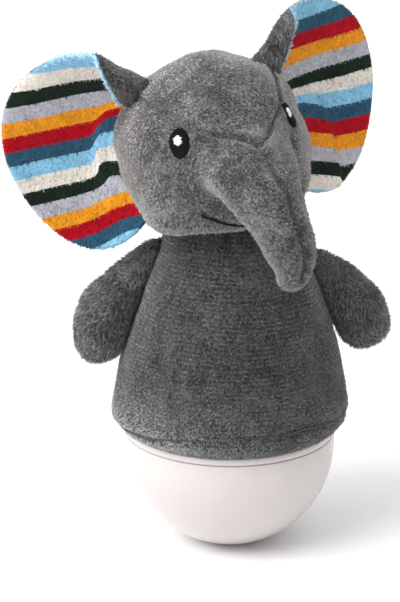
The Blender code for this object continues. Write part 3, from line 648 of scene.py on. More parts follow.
spigot = BOWL_R - BOWL_WALL - 0.3
collar_in = COLLAR_R - COLLAR_WALL
shelf_low = LIP_TOP_Z - DOME_WALL
outline = dome_line(DOME_R, LIP_TOP_Z, 20)
outline += [(collar_in, LIP_TOP_Z), (collar_in, COLLAR_Z - 0.3), (COLLAR_R - 1.5, COLLAR_Z)]
outline += [(COLLAR_R - 0.5, COLLAR_Z), (COLLAR_R, COLLAR_Z - 0.5), (COLLAR_R, LIP_TOP_Z + 0.4)]
outline += [(COLLAR_R + 0.4, LIP_TOP_Z), (BOWL_R - 1.1, LIP_TOP_Z), (BOWL_R - 0.4, LIP_TOP_Z - 0.25)]
outline += [(BOWL_R, LIP_TOP_Z - 0.9), (BOWL_R, RIM_Z + 0.85), (BOWL_R - 0.12, RIM_Z + 0.5)]
outline += [(BOWL_R - 0.5, RIM_Z + 0.3), (spigot, RIM_Z + 0.3), (spigot, RIM_Z - SPIGOT_DEEP)]
outline += [(spigot - BOWL_WALL, RIM_Z - SPIGOT_DEEP), (spigot - BOWL_WALL, shelf_low)]
outline += dome_line(DOME_R - DOME_WALL, shelf_low, 20)[::-1]
cap = spun("base_cap_shell", outline, white_plastic)
cap.data.set_sharp_from_angle(angle=math.radians(40))
belongs(cap, "base", "white_plastic", "base_cap")


# %% [markdown]
# # The plush body
#
# The body is a bell sewn from two panels. It is spun from its outline, with the cloth turned in at the
# hem, and then worked over: a seam up each side, the stitched line above the hem, the small gathers
# that the elastic makes, and the slow unevenness of hand stuffing.

# %% Outline of the body and its seams
body_line = smooth_line(BODY_LINE, 14)


def body_radius(z):
    return np.interp(z, body_line[:, 1], body_line[:, 0])


def inset_line(line, inward):
    along = unit(np.gradient(line, axis=0))
    return line + np.stack([-along[:, 1], along[:, 0]], 1) * inward


hem_roll = [(51.7, HEM_Z - 0.35), (50.9, HEM_Z - 0.1), (50.3, HEM_Z + 0.7)]
inside = inset_line(body_line, 2.3)[8:]
inside[-1] = (NECK_R - SKIN, NECK_Z)
outline = [tuple(p) for p in body_line[::-1]] + hem_roll + [tuple(p) for p in inside]
body = spun("plush_body", outline, looks["body"], 160)
SEAM_LOW = 3.0
SEAM_RISE = 8.64
SEAM_TOP = math.radians(-75.0)


def seam_height(turn):
    """Height of the stitched line above the hem: it climbs towards the toy's front."""
    climb = np.maximum(np.cos(turn - SEAM_TOP), 0.0) ** 1.1
    return SEAM_LOW + SEAM_RISE * climb + 0.4 * np.sin(11 * turn)


PILE_DEEP = 0.9
# Soft folds: turn about the axis, height, half width in radians, half height and depth.
FOLDS = ((-2.45, 104.0, 0.10, 26.0, 1.5), (-2.22, 98.0, 0.08, 20.0, 1.1), (-1.95, 110.0, 0.09, 18.0, 0.8),
         (-0.75, 88.0, 0.10, 16.0, 1.1), (-1.05, 80.0, 0.12, 10.0, 0.8), (0.9, 95.0, 0.11, 24.0, 1.2),
         (2.3, 100.0, 0.10, 24.0, 1.2), (1.6, 84.0, 0.12, 14.0, 0.9))
rows = points_of(body.data) / MM
turn = np.arctan2(rows[:, 1], rows[:, 0])
reach = np.hypot(rows[:, 0], rows[:, 1])
outside = reach > body_radius(rows[:, 2]) - 0.8
up = rows[:, 2] - HEM_Z
seam_z = seam_height(turn)
hem_seam = hill(up - seam_z, 1.2)
pucker = np.sin(38 * turn + 2.0 * np.sin(5 * turn))
side_seam = np.minimum(abs(turn), math.pi - abs(turn)) * reach
fade = ramp(up, 0.0, 12.0) * ramp(rows[:, 2], NECK_Z, -12.0)
sharp = 1.0 - 0.7 * ramp(np.cos(turn), 0.5, 0.4)
lift = -1.4 * sharp * hem_seam * (1.0 + 0.35 * pucker) + 0.5 * hill(up - seam_z - 4.0, 3.0)
lift += 0.4 * hill(up - seam_z + 3.0, 2.0)
lift += 0.28 * pucker * hill(up, 6.0) * (up > 1.0)
lift -= 0.9 * hill(side_seam, 1.0) * fade
lift += fade * (0.75 * waves(rows, 46.0, 3) + 0.35 * waves(rows, 19.0, 4))
for middle, height, wide, tall, deep in FOLDS:
    away = (turn - middle + math.pi) % (2 * math.pi) - math.pi
    fold = hill(away, wide) - 0.6 * hill(away - 1.7 * wide, wide)
    lift -= deep * fold * hill(rows[:, 2] - height, tall)
neck = hill(NECK_Z - rows[:, 2], 9.0)
lift += neck * 0.5 * np.sin(26 * turn) - PILE_DEEP
pushed(body, np.where(outside, lift, 0.0))
belongs(body, "cover", "body_plush", "body_skin", "body_stuffing")


# %% [markdown]
# # Growing the pile
#
# Up close, plush is thousands of short fibres that all lean one way. Here each strand is a tiny
# three-sided spike, made once with a bmesh cone and then set out all over a piece: at random
# places, leaning along a flow that the brushing of the cloth gives. The strands are separate, short
# and few enough to render fast, and they give the soft edge that no bump map can.

# %% One strand, and a field of them
def one_strand():
    """A spike of radius 1 and height 1, as its corners and faces."""
    bm = bmesh.new()
    bmesh.ops.create_cone(bm, cap_ends=True, segments=3, radius1=1.0, radius2=0.0, depth=1.0,
                          matrix=Matrix.Translation((0, 0, 0.5)))
    bmesh.ops.remove_doubles(bm, verts=bm.verts, dist=0.0001)
    bmesh.ops.recalc_face_normals(bm, faces=bm.faces)
    corners = np.array([v.co[:] for v in bm.verts])
    faces = np.array([[v.index for v in f.verts] for f in bm.faces])
    bm.free()
    return corners, faces


STRAND, STRAND_FACES = one_strand()
BURIED = 0.25
OWN_TONE = 0.42
PLACED_TONE_SHARE = 0.58


def loose_tufts(root, up):
    """Tufts without order, 1.3 mm across."""
    wander = [waves(root, 6.0, seed) for seed in (81, 82, 83)]
    return root / 1.3 + 0.4 * np.stack(wander, 1)


def gathered(values, which, count):
    """The middle of each tuft's values, given back to every member."""
    total = np.stack([np.bincount(which, values[:, k], count) for k in range(3)], 1)
    return (total / np.bincount(which, minlength=count)[:, None])[which]


def grow_pile(name, host, per_mm2, length, width, lean, flow, look, seed, where=None, carry=(),
              tufts=loose_tufts, clump=0.5, weight=None, placed_tone=None):
    """Strands over host: per square mm, length and width in mm, lean in degrees away from the normal.

    flow gives each root its direction, where thins the pile out by place and weight by a stored value,
    tufts numbers the tuft that a root belongs to, and clump draws a tuft's tips together. comb gives a
    tone by place, and carry names the host's values that the strands take over."""
    mesh = host.data
    mesh.calc_loop_triangles()
    corner = np.empty(len(mesh.loop_triangles) * 3, np.int64)
    mesh.loop_triangles.foreach_get("vertices", corner)
    corner = corner.reshape(-1, 3)
    place = points_of(mesh) / MM
    normal = points_of(mesh, "normal")
    a, b, c = place[corner[:, 0]], place[corner[:, 1]], place[corner[:, 2]]
    area = 0.5 * np.linalg.norm(np.cross(b - a, c - a), axis=1)
    if where is not None:
        area = area * where((a + b + c) / 3, unit(np.cross(b - a, c - a)))
    if weight is not None:
        area = area * stored(mesh, weight)[corner].mean(axis=1)
    rng = np.random.default_rng(seed)
    count = int(area.sum() * per_mm2)
    pick = corner[rng.choice(len(corner), count, p=area / area.sum())]
    share = rng.dirichlet((1, 1, 1), count)
    root = np.einsum("ij,ijk->ik", share, place[pick])
    up = unit(np.einsum("ij,ijk->ik", share, normal[pick]))
    _, which = np.unique(np.floor(tufts(root, up)).astype(np.int64), axis=0, return_inverse=True)
    which = which.ravel()
    cells = which.max() + 1
    own = rng.random(cells)[which]
    stray = rng.normal(size=(cells, 3))[which]
    way = flow(root, up) + 0.20 * rng.normal(size=(count, 3)) + 0.30 * stray
    way = unit(way - up * np.sum(way * up, axis=1, keepdims=True))
    angle = np.radians(lean + rng.normal(0, 6.0, count) + 9.0 * stray[:, 0])[:, None]
    point = up * np.cos(angle) + way * np.sin(angle)
    aside = unit(np.cross(point, up))
    across = np.cross(point, aside)
    long = (length * rng.uniform(0.8, 1.15, count) * (0.88 + 0.24 * own))[:, None]
    thick = (width * rng.uniform(0.75, 1.25, count))[:, None, None]
    start = root - up * BURIED
    end = start + point * long
    end += clump * (gathered(end, which, cells) - end)
    made = (start[:, None, :] + aside[:, None, :] * STRAND[None, :, 0:1] * thick / 2
            + across[:, None, :] * STRAND[None, :, 1:2] * thick / 3.2
            + (end - start)[:, None, :] * STRAND[None, :, 2:3])
    faces = STRAND_FACES[None] + (np.arange(count) * len(STRAND))[:, None, None]
    field = bpy.data.meshes.new(name)
    field.vertices.add(count * len(STRAND))
    field.vertices.foreach_set("co", (made * MM).ravel())
    field.loops.add(faces.size)
    field.loops.foreach_set("vertex_index", faces.ravel().astype(np.int32))
    field.polygons.add(count * len(STRAND_FACES))
    field.polygons.foreach_set("loop_start", np.arange(0, faces.size, 3, dtype=np.int32))
    field.update(calc_edges=True)
    field.shade_smooth()
    field.materials.append(look)
    obj = linked(name, field)
    tone = np.repeat(0.7 * own + 0.3 * rng.random(count), len(STRAND))
    # A tone by place can carry painted light and shade, which the strands take over.
    if placed_tone is not None:
        tone = OWN_TONE * tone + PLACED_TONE_SHARE * placed_tone(made.reshape(-1, 3))
    store(obj, "tone", tone)
    store(obj, "tip", np.tile(STRAND[:, 2], count))
    for label in carry:
        store(obj, label, np.repeat(np.sum(share * stored(mesh, label)[pick], axis=1), len(STRAND)))
    print(name, "has", count, "strands")
    return obj


# %% [markdown]
# ** Pile of the body.** The fabric is knitted, so its pile stands in level rows about 2 mm apart, each
# with a fainter one between, and hangs a little downwards. Towards the hem, and at the toy's right, the
# pile is painted paler: painted light, for light from below and from the key light on that side.

# %% Pile of the body
ROW = 1.95


def body_flow(root, up):
    down = np.tile((0.0, 0.0, -1.0), (len(root), 1))
    return swirled(down, up, 0.5 * waves(root, 30.0, 8) + 0.25 * waves(root, 9.0, 9))


def row_count(root):
    """How many knitted rows lie below a place."""
    return root[:, 2] / ROW + 0.15 * waves(root, 60.0, 84) + 0.05 * waves(root, 6.0, 85)


def knit_rows(root, up):
    """Tufts in level rows, each row set half a tuft along."""
    turn = np.arctan2(root[:, 1], root[:, 0])
    row = 2.0 * row_count(root)
    return np.stack([turn * 45.0 / 1.9 + 0.5 * np.floor(row) + 0.3 * waves(root, 7.0, 86), row], 1)


def rows_and_painted_light(root):
    """Pale and dark rows, and painted light: a paler stretch low down and at the toy's right."""
    row = 2 * math.pi * row_count(root)
    # Painted light: paler low down, for light bounced up from below, and paler at the toy's right, the side
    # the key light comes from.
    low = ramp(root[:, 2], 92.0, -26.0) * np.maximum(ramp(root[:, 0], 25.0, -50.0), 0.2)
    low = 2.0 * low + 0.45 * ramp(root[:, 0], -18.0, -25.0)
    return 0.44 + 0.80 * np.cos(row) + 0.40 * np.cos(2 * row) + low


def body_band(low, high):
    """Keeps the outer skin between two heights."""
    def where(middle, up):
        reach = np.hypot(middle[:, 0], middle[:, 1])
        out = reach > body_radius(middle[:, 2]) - 2.9
        facing = (up[:, 0] * middle[:, 0] + up[:, 1] * middle[:, 1]) > 0
        return (out & facing & (middle[:, 2] >= low) & (middle[:, 2] < high)).astype(float)
    return where


BANDS = (("lower", HEM_Z + 1.1, 84.0), ("middle", 84.0, 112.0), ("upper", 112.0, 200.0))
for part, low, high in BANDS:
    pile = grow_pile("body_pile_" + part, body, 3.2, 1.35, 0.36, 46.0, body_flow, looks["body pile"], 20,
                     body_band(low, high), tufts=knit_rows, clump=0.45, placed_tone=rows_and_painted_light)
    belongs(pile, "cover", "body_plush")


# %% [markdown]
# # The head and trunk
#
# The face panels run on into the trunk without a seam at its root, so head and trunk are one skin. A
# ball is drawn out to the head's pear shape and pulled in at the neck, a second ball becomes the
# bent trunk, and rebuilding both together in small squares joins them. The root is then relaxed so
# that the forehead flows into the trunk.

# %% Shape of the head
NECK_OPENING = math.radians(144.0)


def head_surface(rows, grow=0.0):
    """Points of the head's pear shape in these directions, in the head's frame."""
    d = unit(rows)
    wide = 1.0 - HEAD_PEAR * d[:, 2]
    half = np.stack([HEAD_HALF[0] * wide, HEAD_HALF[1] * wide,
                     HEAD_HALF[2] * np.where(d[:, 2] > 0, 1.0, HEAD_LOW)], 1)
    cheek = np.stack([np.where(d[:, 0] < 0, -0.55, 0.55), np.full(len(d), -0.38), np.full(len(d), -0.75)], 1)
    swell = JOWL * np.exp(-(1.0 - np.sum(d * unit(cheek), axis=1)) / 0.16)
    return d * half + d * (grow + swell)[:, None]


def head_shape(rows):
    """Points of a unit ball drawn out to the head, with the bottom pulled in to the neck."""
    polar = np.arccos(np.clip(rows[:, 2], -1, 1))
    turn = np.arctan2(rows[:, 1], rows[:, 0])
    part = polar / math.pi
    polar = part * NECK_OPENING
    d = np.stack([np.sin(polar) * np.cos(turn), np.sin(polar) * np.sin(turn), np.cos(polar)], 1)
    free = placed(HEAD_PLACE, head_surface(d))
    pull = ramp(part, 0.84, 0.16)
    pull = (pull * pull * (3 - 2 * pull))[:, None]
    turn = turn + HEAD_YAW
    bottom = NECK_Z + 0.3
    neck = np.stack([NECK_R * np.cos(turn), NECK_R * np.sin(turn), np.full(len(d), bottom)], 1)
    out = free * (1 - pull) + neck * pull
    out[:, 2] = np.maximum(out[:, 2], bottom)
    out[part > 0.9999] = (0, 0, bottom)
    return out


# Marks along the trunk, in the head's frame: x, how far forward, z and half width.
TRUNK = ((1.0, 49.0, -2.0, 22.0), (3.1, 58.0, -13.0, 17.4), (4.9, 64.5, -25.0, 13.4),
         (6.2, 68.5, -36.5, 11.7), (5.6, 70.3, -45.0, 8.5))
TRUNK_SIDES = 48


def trunk_rings():
    """Rings of points in the head's frame, from inside the face out to the tip."""
    turn = np.arange(TRUNK_SIDES) * 2 * math.pi / TRUNK_SIDES
    marks = smooth_line(TRUNK, 8)
    rings = [head_surface(lonlat(24.0 * np.cos(turn), 4.0 + 19.0 * np.sin(turn)), -14.0),
             head_surface(lonlat(31.0 * np.cos(turn), 5.0 + 25.0 * np.sin(turn)), -1.5)]
    for i, (x, forward, z, half) in enumerate(marks):
        before, after = marks[max(i - 1, 0)], marks[min(i + 1, len(marks) - 1)]
        along = Vector((after[0] - before[0], before[1] - after[1], after[2] - before[2])).normalized()
        if i == 0:
            along = Vector((0, -0.86, -0.5)).normalized()
        across = (Vector((1, 0, 0)) - along * along.x).normalized()
        top = along.cross(across)
        deep = min(half * 0.82, 14.0) + 0.12 * max(0.0, 14.0 - half)
        rings.append(np.array((x, -forward, z)) + np.outer(np.cos(turn), across) * half
                     + np.outer(np.sin(turn), top) * deep)
    x, forward, z, half = marks[-1]
    tip_way = np.array(Vector((-0.50, -0.15, -1.0)).normalized()) * half * 1.05
    for part in (0.3, 0.55, 0.75, 0.9, 0.98):
        small = (1 - part * part) ** 0.72
        rings.append(np.array((x, -forward, z)) + tip_way * part
                     + np.outer(np.cos(turn), across) * half * small
                     + np.outer(np.sin(turn), top) * half * 0.82 * small)
    return np.array(rings), np.array((x, -forward, z)) + tip_way


def ringed_ball(rings, tip, place):
    """A bmesh ball with its rings of points laid on the given ones, and its last pole on the tip."""
    sides = rings.shape[1]
    bm = bmesh.new()
    bmesh.ops.create_uvsphere(bm, u_segments=sides, v_segments=len(rings) + 1, radius=1.0)
    for v in bm.verts:
        ring = round(math.acos(max(-1.0, min(1.0, v.co.z))) / math.pi * (len(rings) + 1)) - 1
        side = round(math.atan2(v.co.y, v.co.x) / (2 * math.pi) * sides) % sides
        if ring < 0:
            here = rings[0].mean(axis=0)
        elif ring >= len(rings):
            here = tip
        else:
            here = rings[ring][side]
        v.co = place @ Vector(here) * MM
    bmesh.ops.recalc_face_normals(bm, faces=bm.faces)
    return bm


bm = bmesh.new()
bmesh.ops.create_uvsphere(bm, u_segments=96, v_segments=72, radius=1.0)
for v, here in zip(bm.verts, head_shape(np.array([v.co[:] for v in bm.verts]))):
    v.co = Vector(here) * MM
head = from_bmesh("plush_head", bm, looks["head"])
rings, trunk_tip = trunk_rings()
bm = ringed_ball(rings, trunk_tip, HEAD_PLACE)
bm.from_mesh(head.data)
bmesh.ops.recalc_face_normals(bm, faces=bm.faces)
bm.to_mesh(head.data)
bm.free()
rebuild(head, 1.9)
print("head and trunk joined:", len(head.data.polygons), "faces")

# %% [markdown]
# **Seams of the face.** A triangular gusset covers the crown and points down at the trunk. Its two
# seams meet at the trunk's root and go on as the single seam along the trunk's top. A seam draws the
# cloth in along a narrow line and lets it swell on either side.

# %% Draw the seams
def skin_tree():
    return BVHTree.FromPolygons([tuple(p) for p in points_of(head.data)],
                                [tuple(f.vertices) for f in head.data.polygons])


def on_head(marks):
    """A line through marks in the head's frame, dropped on to the skin."""
    tree = skin_tree()
    line = placed(HEAD_PLACE, smooth_line(marks, 8))
    return np.array([list(tree.find_nearest(Vector(p) * MM)[0] / MM) for p in line])


CROWN_RIGHT = ((-28, 30, 22), (-31.5, 12.9, 26.4), (-30.2, -13.1, 27.9), (-25.4, -22.1, 25.3),
               (-21.4, -28.4, 21.4), (-15.8, -34.5, 17.9), (-9.7, -40.4, 16.4), (-1.5, -48.5, 14.2))
CROWN_LEFT = ((29, 30, 22), (33, 10, 27), (31.5, -10, 28), (28.0, -22.1, 24.1), (24.5, -29.8, 19.5),
              (15.4, -40.7, 14.5), (4.6, -53.1, 11.6))
TRUNK_SEAM = ((-1.5, -48.5, 14.2), (3.4, -56.6, 9.9), (4.4, -61.9, 4.5), (5.6, -66.3, -1.2),
              (7.2, -71.1, -8.5), (7.7, -74.0, -16.0), (8.2, -76.5, -24.0), (8.8, -78.0, -31.0),
              (8.4, -79.0, -38.0), (6.5, -79.0, -46.0))
CHEEK_FOLD = ((27.5, -33.0, 8.5), (25.5, -37.9, 1.1), (24.5, -42.0, -7.0), (27.0, -35.0, -16.0),
              (31.0, -27.5, -24.0))
MOUTH = ((-21.4, -35.8, -20.0), (-19.1, -36.3, -21.9), (-15.9, -36.6, -23.9), (-12.3, -36.1, -26.1),
         (-6.6, -34.6, -28.9), (0.0, -33.0, -30.5))
EYE_MIDDLE = {"right": (-40.2, 19.1), "left": (44.0, 18.9)}
# Places in the head's frame, and how far the skin swells there.
HEAD_SCULPT = np.array(((-37.6, -10.2, -27.3, 0.6), (-40.8, 4.8, -25.1, -2.4), (-42.3, 9.1, -17.8, -2.0),
                        (-43.2, 11.7, -3.6, -0.6), (-41.0, 14.9, 7.4, 2.2), (-35.8, 16.6, 17.5, 3.0),
                        (-23.2, 17.7, 31.1, 0.4), (42.4, -8.6, 8.6, -3.2), (43.2, -10.8, 3.8, -2.4),
                        (42.7, -15.0, -7.4, -1.5), (41.6, -15.8, -12.1, -0.8), (39.9, -17.5, -20.3, -1.8),
                        (36.9, -19.1, -26.4, -1.8), (-35.5, -16.5, -28.1, 3.2), (-31.7, -20.3, -29.0, 3.2),
                        (-26.9, -25.1, -29.5, 1.0), (-16.0, -29.0, -31.0, 0.8), (-6.7, -28.5, -32.4, 1.6)))
inverse = HEAD_PLACE.inverted()
rows = points_of(head.data) / MM
local = placed(inverse, rows)
root_line = placed(HEAD_PLACE, rings[1])
root_line = np.vstack([root_line, root_line[:1]])
near_root = hill(near_line(rows, root_line), 6.5)
softer = near_root * np.clip(0.55 + local[:, 2] / 26.0, 0.12, 1.0)
relaxed(head, 0.8 * softer, 26)
relaxed(head, np.full(len(rows), 0.25), 3)
stuffed(head, 2.0, 1.2, lambda p: p[:, 2] < NECK_Z + 3)
refine(head)
face_seams = [on_head(marks) for marks in (CROWN_RIGHT, CROWN_LEFT, TRUNK_SEAM)]
cheek_fold = on_head(CHEEK_FOLD)
mouth = on_head(MOUTH)
HEAD_PILE = 0.7


def bump_at(rows, spot, size):
    return np.exp(-np.sum((placed(inverse, rows) - np.array(spot)) ** 2, axis=1) / size ** 2)


rows = points_of(head.data) / MM
lift = 0.55 * waves(rows, 34.0, 11) + 0.25 * waves(rows, 13.0, 12) - HEAD_PILE
for line in face_seams:
    away = near_line(rows, line)
    lift += -1.5 * hill(away, 1.25) + 0.45 * hill(away - 4.0, 2.4)
away = near_line(rows, cheek_fold)
below_eye = 1.0 - bump_at(rows, head_surface(lonlat(*EYE_MIDDLE["left"])[None])[0], 13.0)
lift += below_eye * (-2.3 * hill(away, 2.4) + 0.6 * hill(away - 5.5, 3.0))
away = near_line(rows, mouth[:-8])
lift += -0.9 * hill(away, 1.4) - 1.8 * bump_at(rows, MOUTH[0], 2.8)
lift += -1.6 * bump_at(rows, (34.5, -22.0, 14.4), 10.0) + 1.5 * bump_at(rows, (20.0, -35.0, 16.5), 6.5)
shares = np.stack([bump_at(rows, mark[:3], 8.0) for mark in HEAD_SCULPT], 1)
lift += shares @ HEAD_SCULPT[:, 3] / np.maximum(shares.sum(axis=1), 1.0)
lift += -0.9 * bump_at(rows, head_surface(lonlat(*EYE_MIDDLE["right"])[None])[0], 8.5)
pushed(head, lift)
belongs(head, "cover", "head_plush", "head_skin", "head_stuffing", "trunk_skin", "trunk_stuffing")
head_tree = skin_tree()


# %% [markdown]
# # Embroidery
#
# The eyes are satin stitch: level threads side by side fill an oval, and their ends make its ragged
# edge. A smaller white oval is the shine. Every thread is a small stretched ball, laid in the
# flat plane of the eye and then pressed on to the head, so that the whole eye follows its curve.

# %% A place on the head
def spot_on_head(lon, lat, roll):
    """Middle, right, up and outward directions of a flat place, rolled by some degrees."""
    d = Vector(lonlat(lon, lat))
    outward = (HEAD_PLACE.to_3x3() @ d).normalized()
    hit, normal, _, _ = head_tree.ray_cast(HEAD_PLACE @ (d * 90.0) * MM, -outward)
    up = HEAD_PLACE.to_3x3() @ Vector((0, 0, 1))
    up = (up - normal * up.dot(normal)).normalized()
    right = up.cross(normal)
    turn = Matrix.Rotation(math.radians(roll), 3, normal)
    return hit, turn @ right, turn @ up, normal


def pressed(bm, place):
    """Lays a flat bmesh, in millimetres, on the head at a place: x right, y up, z out."""
    middle, right, up, normal = place
    for v in bm.verts:
        above = middle + (right * v.co.x + up * v.co.y) * MM + normal * 0.012
        hit = head_tree.ray_cast(above, -normal)[0]
        v.co = hit + normal * v.co.z * MM


def satin(name, place, middle, half, rise, look, pitch, seed):
    rng = np.random.default_rng(seed)
    bm = bmesh.new()
    size = Matrix.Diagonal((half[0] * 0.95, half[1] * 0.97, rise * 0.8, 1.0))
    bmesh.ops.create_uvsphere(bm, u_segments=40, v_segments=16, radius=1.0,
                              matrix=Matrix.Translation((*middle, 0.0)) @ size)
    for y in np.arange(-half[1] + pitch / 2, half[1], pitch):
        bow = math.sqrt(max(1.0 - (y / half[1]) ** 2, 0.02))
        wide = half[0] * bow + rng.uniform(-0.3, 0.6)
        spot = (middle[0] + rng.uniform(-0.2, 0.2), middle[1] + y, rise * (0.35 + 0.5 * bow))
        turn = Matrix.Rotation(rng.uniform(-0.05, 0.05), 4, "Z")
        size = Matrix.Diagonal((wide, pitch * 0.62, rise * 0.45, 1.0))
        bmesh.ops.create_uvsphere(bm, u_segments=8, v_segments=6, radius=1.0,
                                  matrix=Matrix.Translation(spot) @ turn @ size)
    pressed(bm, place)
    bmesh.ops.recalc_face_normals(bm, faces=bm.faces)
    in_order(bm)
    belongs(from_bmesh(name, bm, look), "cover", "head_plush")


# %% The two eyes
EYE_HALF = (5.1, 6.8)
EYE_SIZE = {"right": 1.0, "left": 0.88}
eye_half = {tag: (EYE_HALF[0] * size ** 2, EYE_HALF[1] * size) for tag, size in EYE_SIZE.items()}
THREAD_PITCH = 0.42
# The white of each eye: x, y, half width and half height, from the eye's middle.
SHINE = {"right": (-0.5, 1.2, 2.1, 2.3), "left": (-1.2, 1.3, 1.7, 2.4)}
eyes = {tag: spot_on_head(*EYE_MIDDLE[tag], roll) for tag, roll in (("right", 4.0), ("left", -8.0))}
for tag, place in eyes.items():
    x, y, wide, high = SHINE[tag]
    satin("eye_" + tag, place, (0.0, 0.0), eye_half[tag], 0.55, black_thread, THREAD_PITCH, 31)
    satin("eye_" + tag + "_shine", place, (x, y), (wide, high), 0.95, white_thread, THREAD_PITCH, 32)


# %% [markdown]
# **The mouth** is one black thread in back stitch, low on the toy's right cheek, and it draws a small
# dimple at its end.

# %% The mouth
def stitches(name, line, gap, thick, look, slot):
    """Back stitch along a line, each stitch a little longer than its gap."""
    bm = bmesh.new()
    lengths = np.concatenate([[0], np.cumsum(np.linalg.norm(np.diff(line, axis=0), axis=1))])
    for at in np.arange(gap / 2, lengths[-1], gap):
        ends = []
        for length in (at - gap * 0.58, at + gap * 0.58):
            ends.append(Vector([np.interp(length, lengths, line[:, k]) for k in range(3)]))
        along = ends[1] - ends[0]
        turn = along.to_track_quat("X", "Z").to_matrix().to_4x4()
        size = Matrix.Diagonal((along.length / 2, thick / 2, thick / 2, 1.0))
        middle = (ends[0] + ends[1]) / 2
        place = Matrix.Translation(middle * MM) @ turn @ size @ Matrix.Scale(MM, 4)
        bmesh.ops.create_uvsphere(bm, u_segments=8, v_segments=6, radius=1.0, matrix=place)
    in_order(bm)
    belongs(from_bmesh(name, bm, look), "cover", slot)


def on_skin(line, out):
    """The line dropped on to the finished head, and lifted off it by out."""
    found = [head_tree.find_nearest(Vector(p) * MM) for p in line]
    return np.array([list((hit + normal * out * MM) / MM) for hit, normal, _, _ in found])


stitches("mouth_stitches", on_skin(mouth, 0.45), 1.9, 0.95, black_thread, "head_plush")
# A dark thread in each face seam's groove stands in for the shade there: painted shade.
for tag, line in zip(("crown_right", "crown_left", "trunk"), face_seams):
    stitches("seam_" + tag, on_skin(line, 0.05), 2.4, 0.8, dark_thread_and_seam_shade, "head_plush")


# %% [markdown]
# **Pile of the head.** It is as short as the body's, closest on the trunk and thinner on the face, and
# is brushed down and a little to the toy's left. It is left out under the embroidery and parted along
# the seams.

# %% Pile of the head
EYE_EDGE = 0.35
TRUNK_FROM_Y = -47.0
UNDER_FACE_Y = -40.0


def clear_of_eyes(rows):
    keep = np.ones(len(rows), bool)
    for tag, (middle, right, up, _) in eyes.items():
        away = rows - np.array(middle) / MM
        x, y = away @ np.array(right), away @ np.array(up)
        half = (eye_half[tag][0] - EYE_EDGE, eye_half[tag][1] - EYE_EDGE)
        keep &= ((x / half[0]) ** 2 + (y / half[1]) ** 2 > 1) | (np.linalg.norm(away, axis=1) > 12)
    return keep


def head_where(middle, up):
    forward = placed(inverse, middle)[:, 1] < UNDER_FACE_Y
    keep = clear_of_eyes(middle) & ((middle[:, 2] > NECK_Z + 0.6) | forward)
    keep &= near_line(middle, mouth) > 0.8
    part = np.where(keep, 1.0, 0.0)
    for line in face_seams:
        part *= np.clip(near_line(middle, line) / 1.2 - 0.45, 0.0, 1)
    return part


def head_flow(root, up):
    down = np.array(HEAD_PLACE.to_3x3() @ Vector((0.45, 0.2, -1.0)))
    way = np.tile(down, (len(root), 1))
    return swirled(way, up, 0.6 * waves(root, 34.0, 14) + 0.3 * waves(root, 10.0, 15))


def hatched(root, up):
    """Tufts longer along a slant, as the face cloth is cut on the bias."""
    x, y, z = placed(inverse, root).T
    along = (0.80 * x - 0.60 * z) / 2.3 + 0.35 * waves(root, 7.0, 87)
    across = (0.60 * x + 0.80 * z) / 1.15 + 0.35 * waves(root, 7.0, 88)
    return np.stack([along, across, y / 2.2], 1)


def head_part(on_trunk):
    """Keeps the trunk, or else the rest of the head."""
    def where(middle, up):
        return head_where(middle, up) * ((placed(inverse, middle)[:, 1] < TRUNK_FROM_Y) == on_trunk)
    return where


def painted_seam_shade(root):
    """Painted shade along the face's seams, where the pile parts."""
    away = np.min([near_line(root, line) for line in face_seams], axis=0)
    return hill(away, 1.3)


def trunk_ridges_and_painted_shade(root):
    """Slanting ridges of pile, with painted shade towards the tip, on the toy's left and along the seams."""
    x, _, z = placed(inverse, root).T
    ridge = np.cos(2 * math.pi * ((0.45 * x + 0.89 * z) / 1.8 + 0.5 * waves(root, 9.0, 89)))
    # Painted shade: darker on the downward-facing tip and on the side away from the key light.
    dark = 0.95 * ramp(z, -20.0, -20.0) + 0.34 * ramp(x, 3.0, 7.0)
    return 0.58 + 0.52 * ridge - dark - 0.8 * painted_seam_shade(root)


def face_ridges_and_painted_light(root):
    """Slanting ridges, and painted light over the crown and the right cheek, which face the light, with
    painted shade along the seams.
    """
    x, _, z = placed(inverse, root).T
    ridge = np.cos(2 * math.pi * ((0.60 * x + 0.80 * z) / 1.9 + 0.6 * waves(root, 9.0, 90)))
    # Painted light: paler on the toy's right cheek and on the crown, which face the light.
    pale = 0.65 * ramp(x, -20.0, -18.0) + ramp(z, 8.0, 26.0)
    return 0.38 + 0.34 * ridge + pale - 0.9 * painted_seam_shade(root)


for part, on_trunk, density, placed_tone in (("trunk_pile", True, 3.4, trunk_ridges_and_painted_shade),
                                      ("head_pile", False, 2.1, face_ridges_and_painted_light)):
    pile = grow_pile(part, head, density, 1.35, 0.38, 52.0, head_flow, looks["head pile"], 21,
                     head_part(on_trunk), tufts=hatched, placed_tone=placed_tone)
    belongs(pile, "cover", "head_plush")

# %% [markdown]
# # The ears
#
# Each ear is a striped front and a grey back, sewn round the rim and turned. The root is sewn on a
# curve over the side of the head, and at the top the ear folds forward, so its grey back shows there.
# Both layers are bent from a flat grid: s runs from the root to the rim, t along the root.

# %% Shape of an ear
# Each ear's root on the head, from its low end up: degrees round from the front, and degrees up.
EAR_ROOTS = {
    1: smooth_line(((100, -34), (100, -12), (100, 10), (101, 32), (98, 49), (94, 55), (93, 34)), 8),
    -1: smooth_line(((101, -34), (102, -12), (106, 10), (111, 30), (114, 46), (113, 53), (109, 33)), 8)}
EAR_TURN = 0.72
EAR_START = -130.0
EAR_END = 103.0
EAR_MIDDLE = (12.0, 5.5)
EAR_HALF = (38.0, 47.0)
EAR_PEAR = 7.0
EAR_CURL = 8.4
EAR_HOLLOW = 6.0
EAR_FOLD_END = {1: (-9.0, 25.0), -1: (-5.5, 27.5)}
SWEEP = math.radians(19.0)


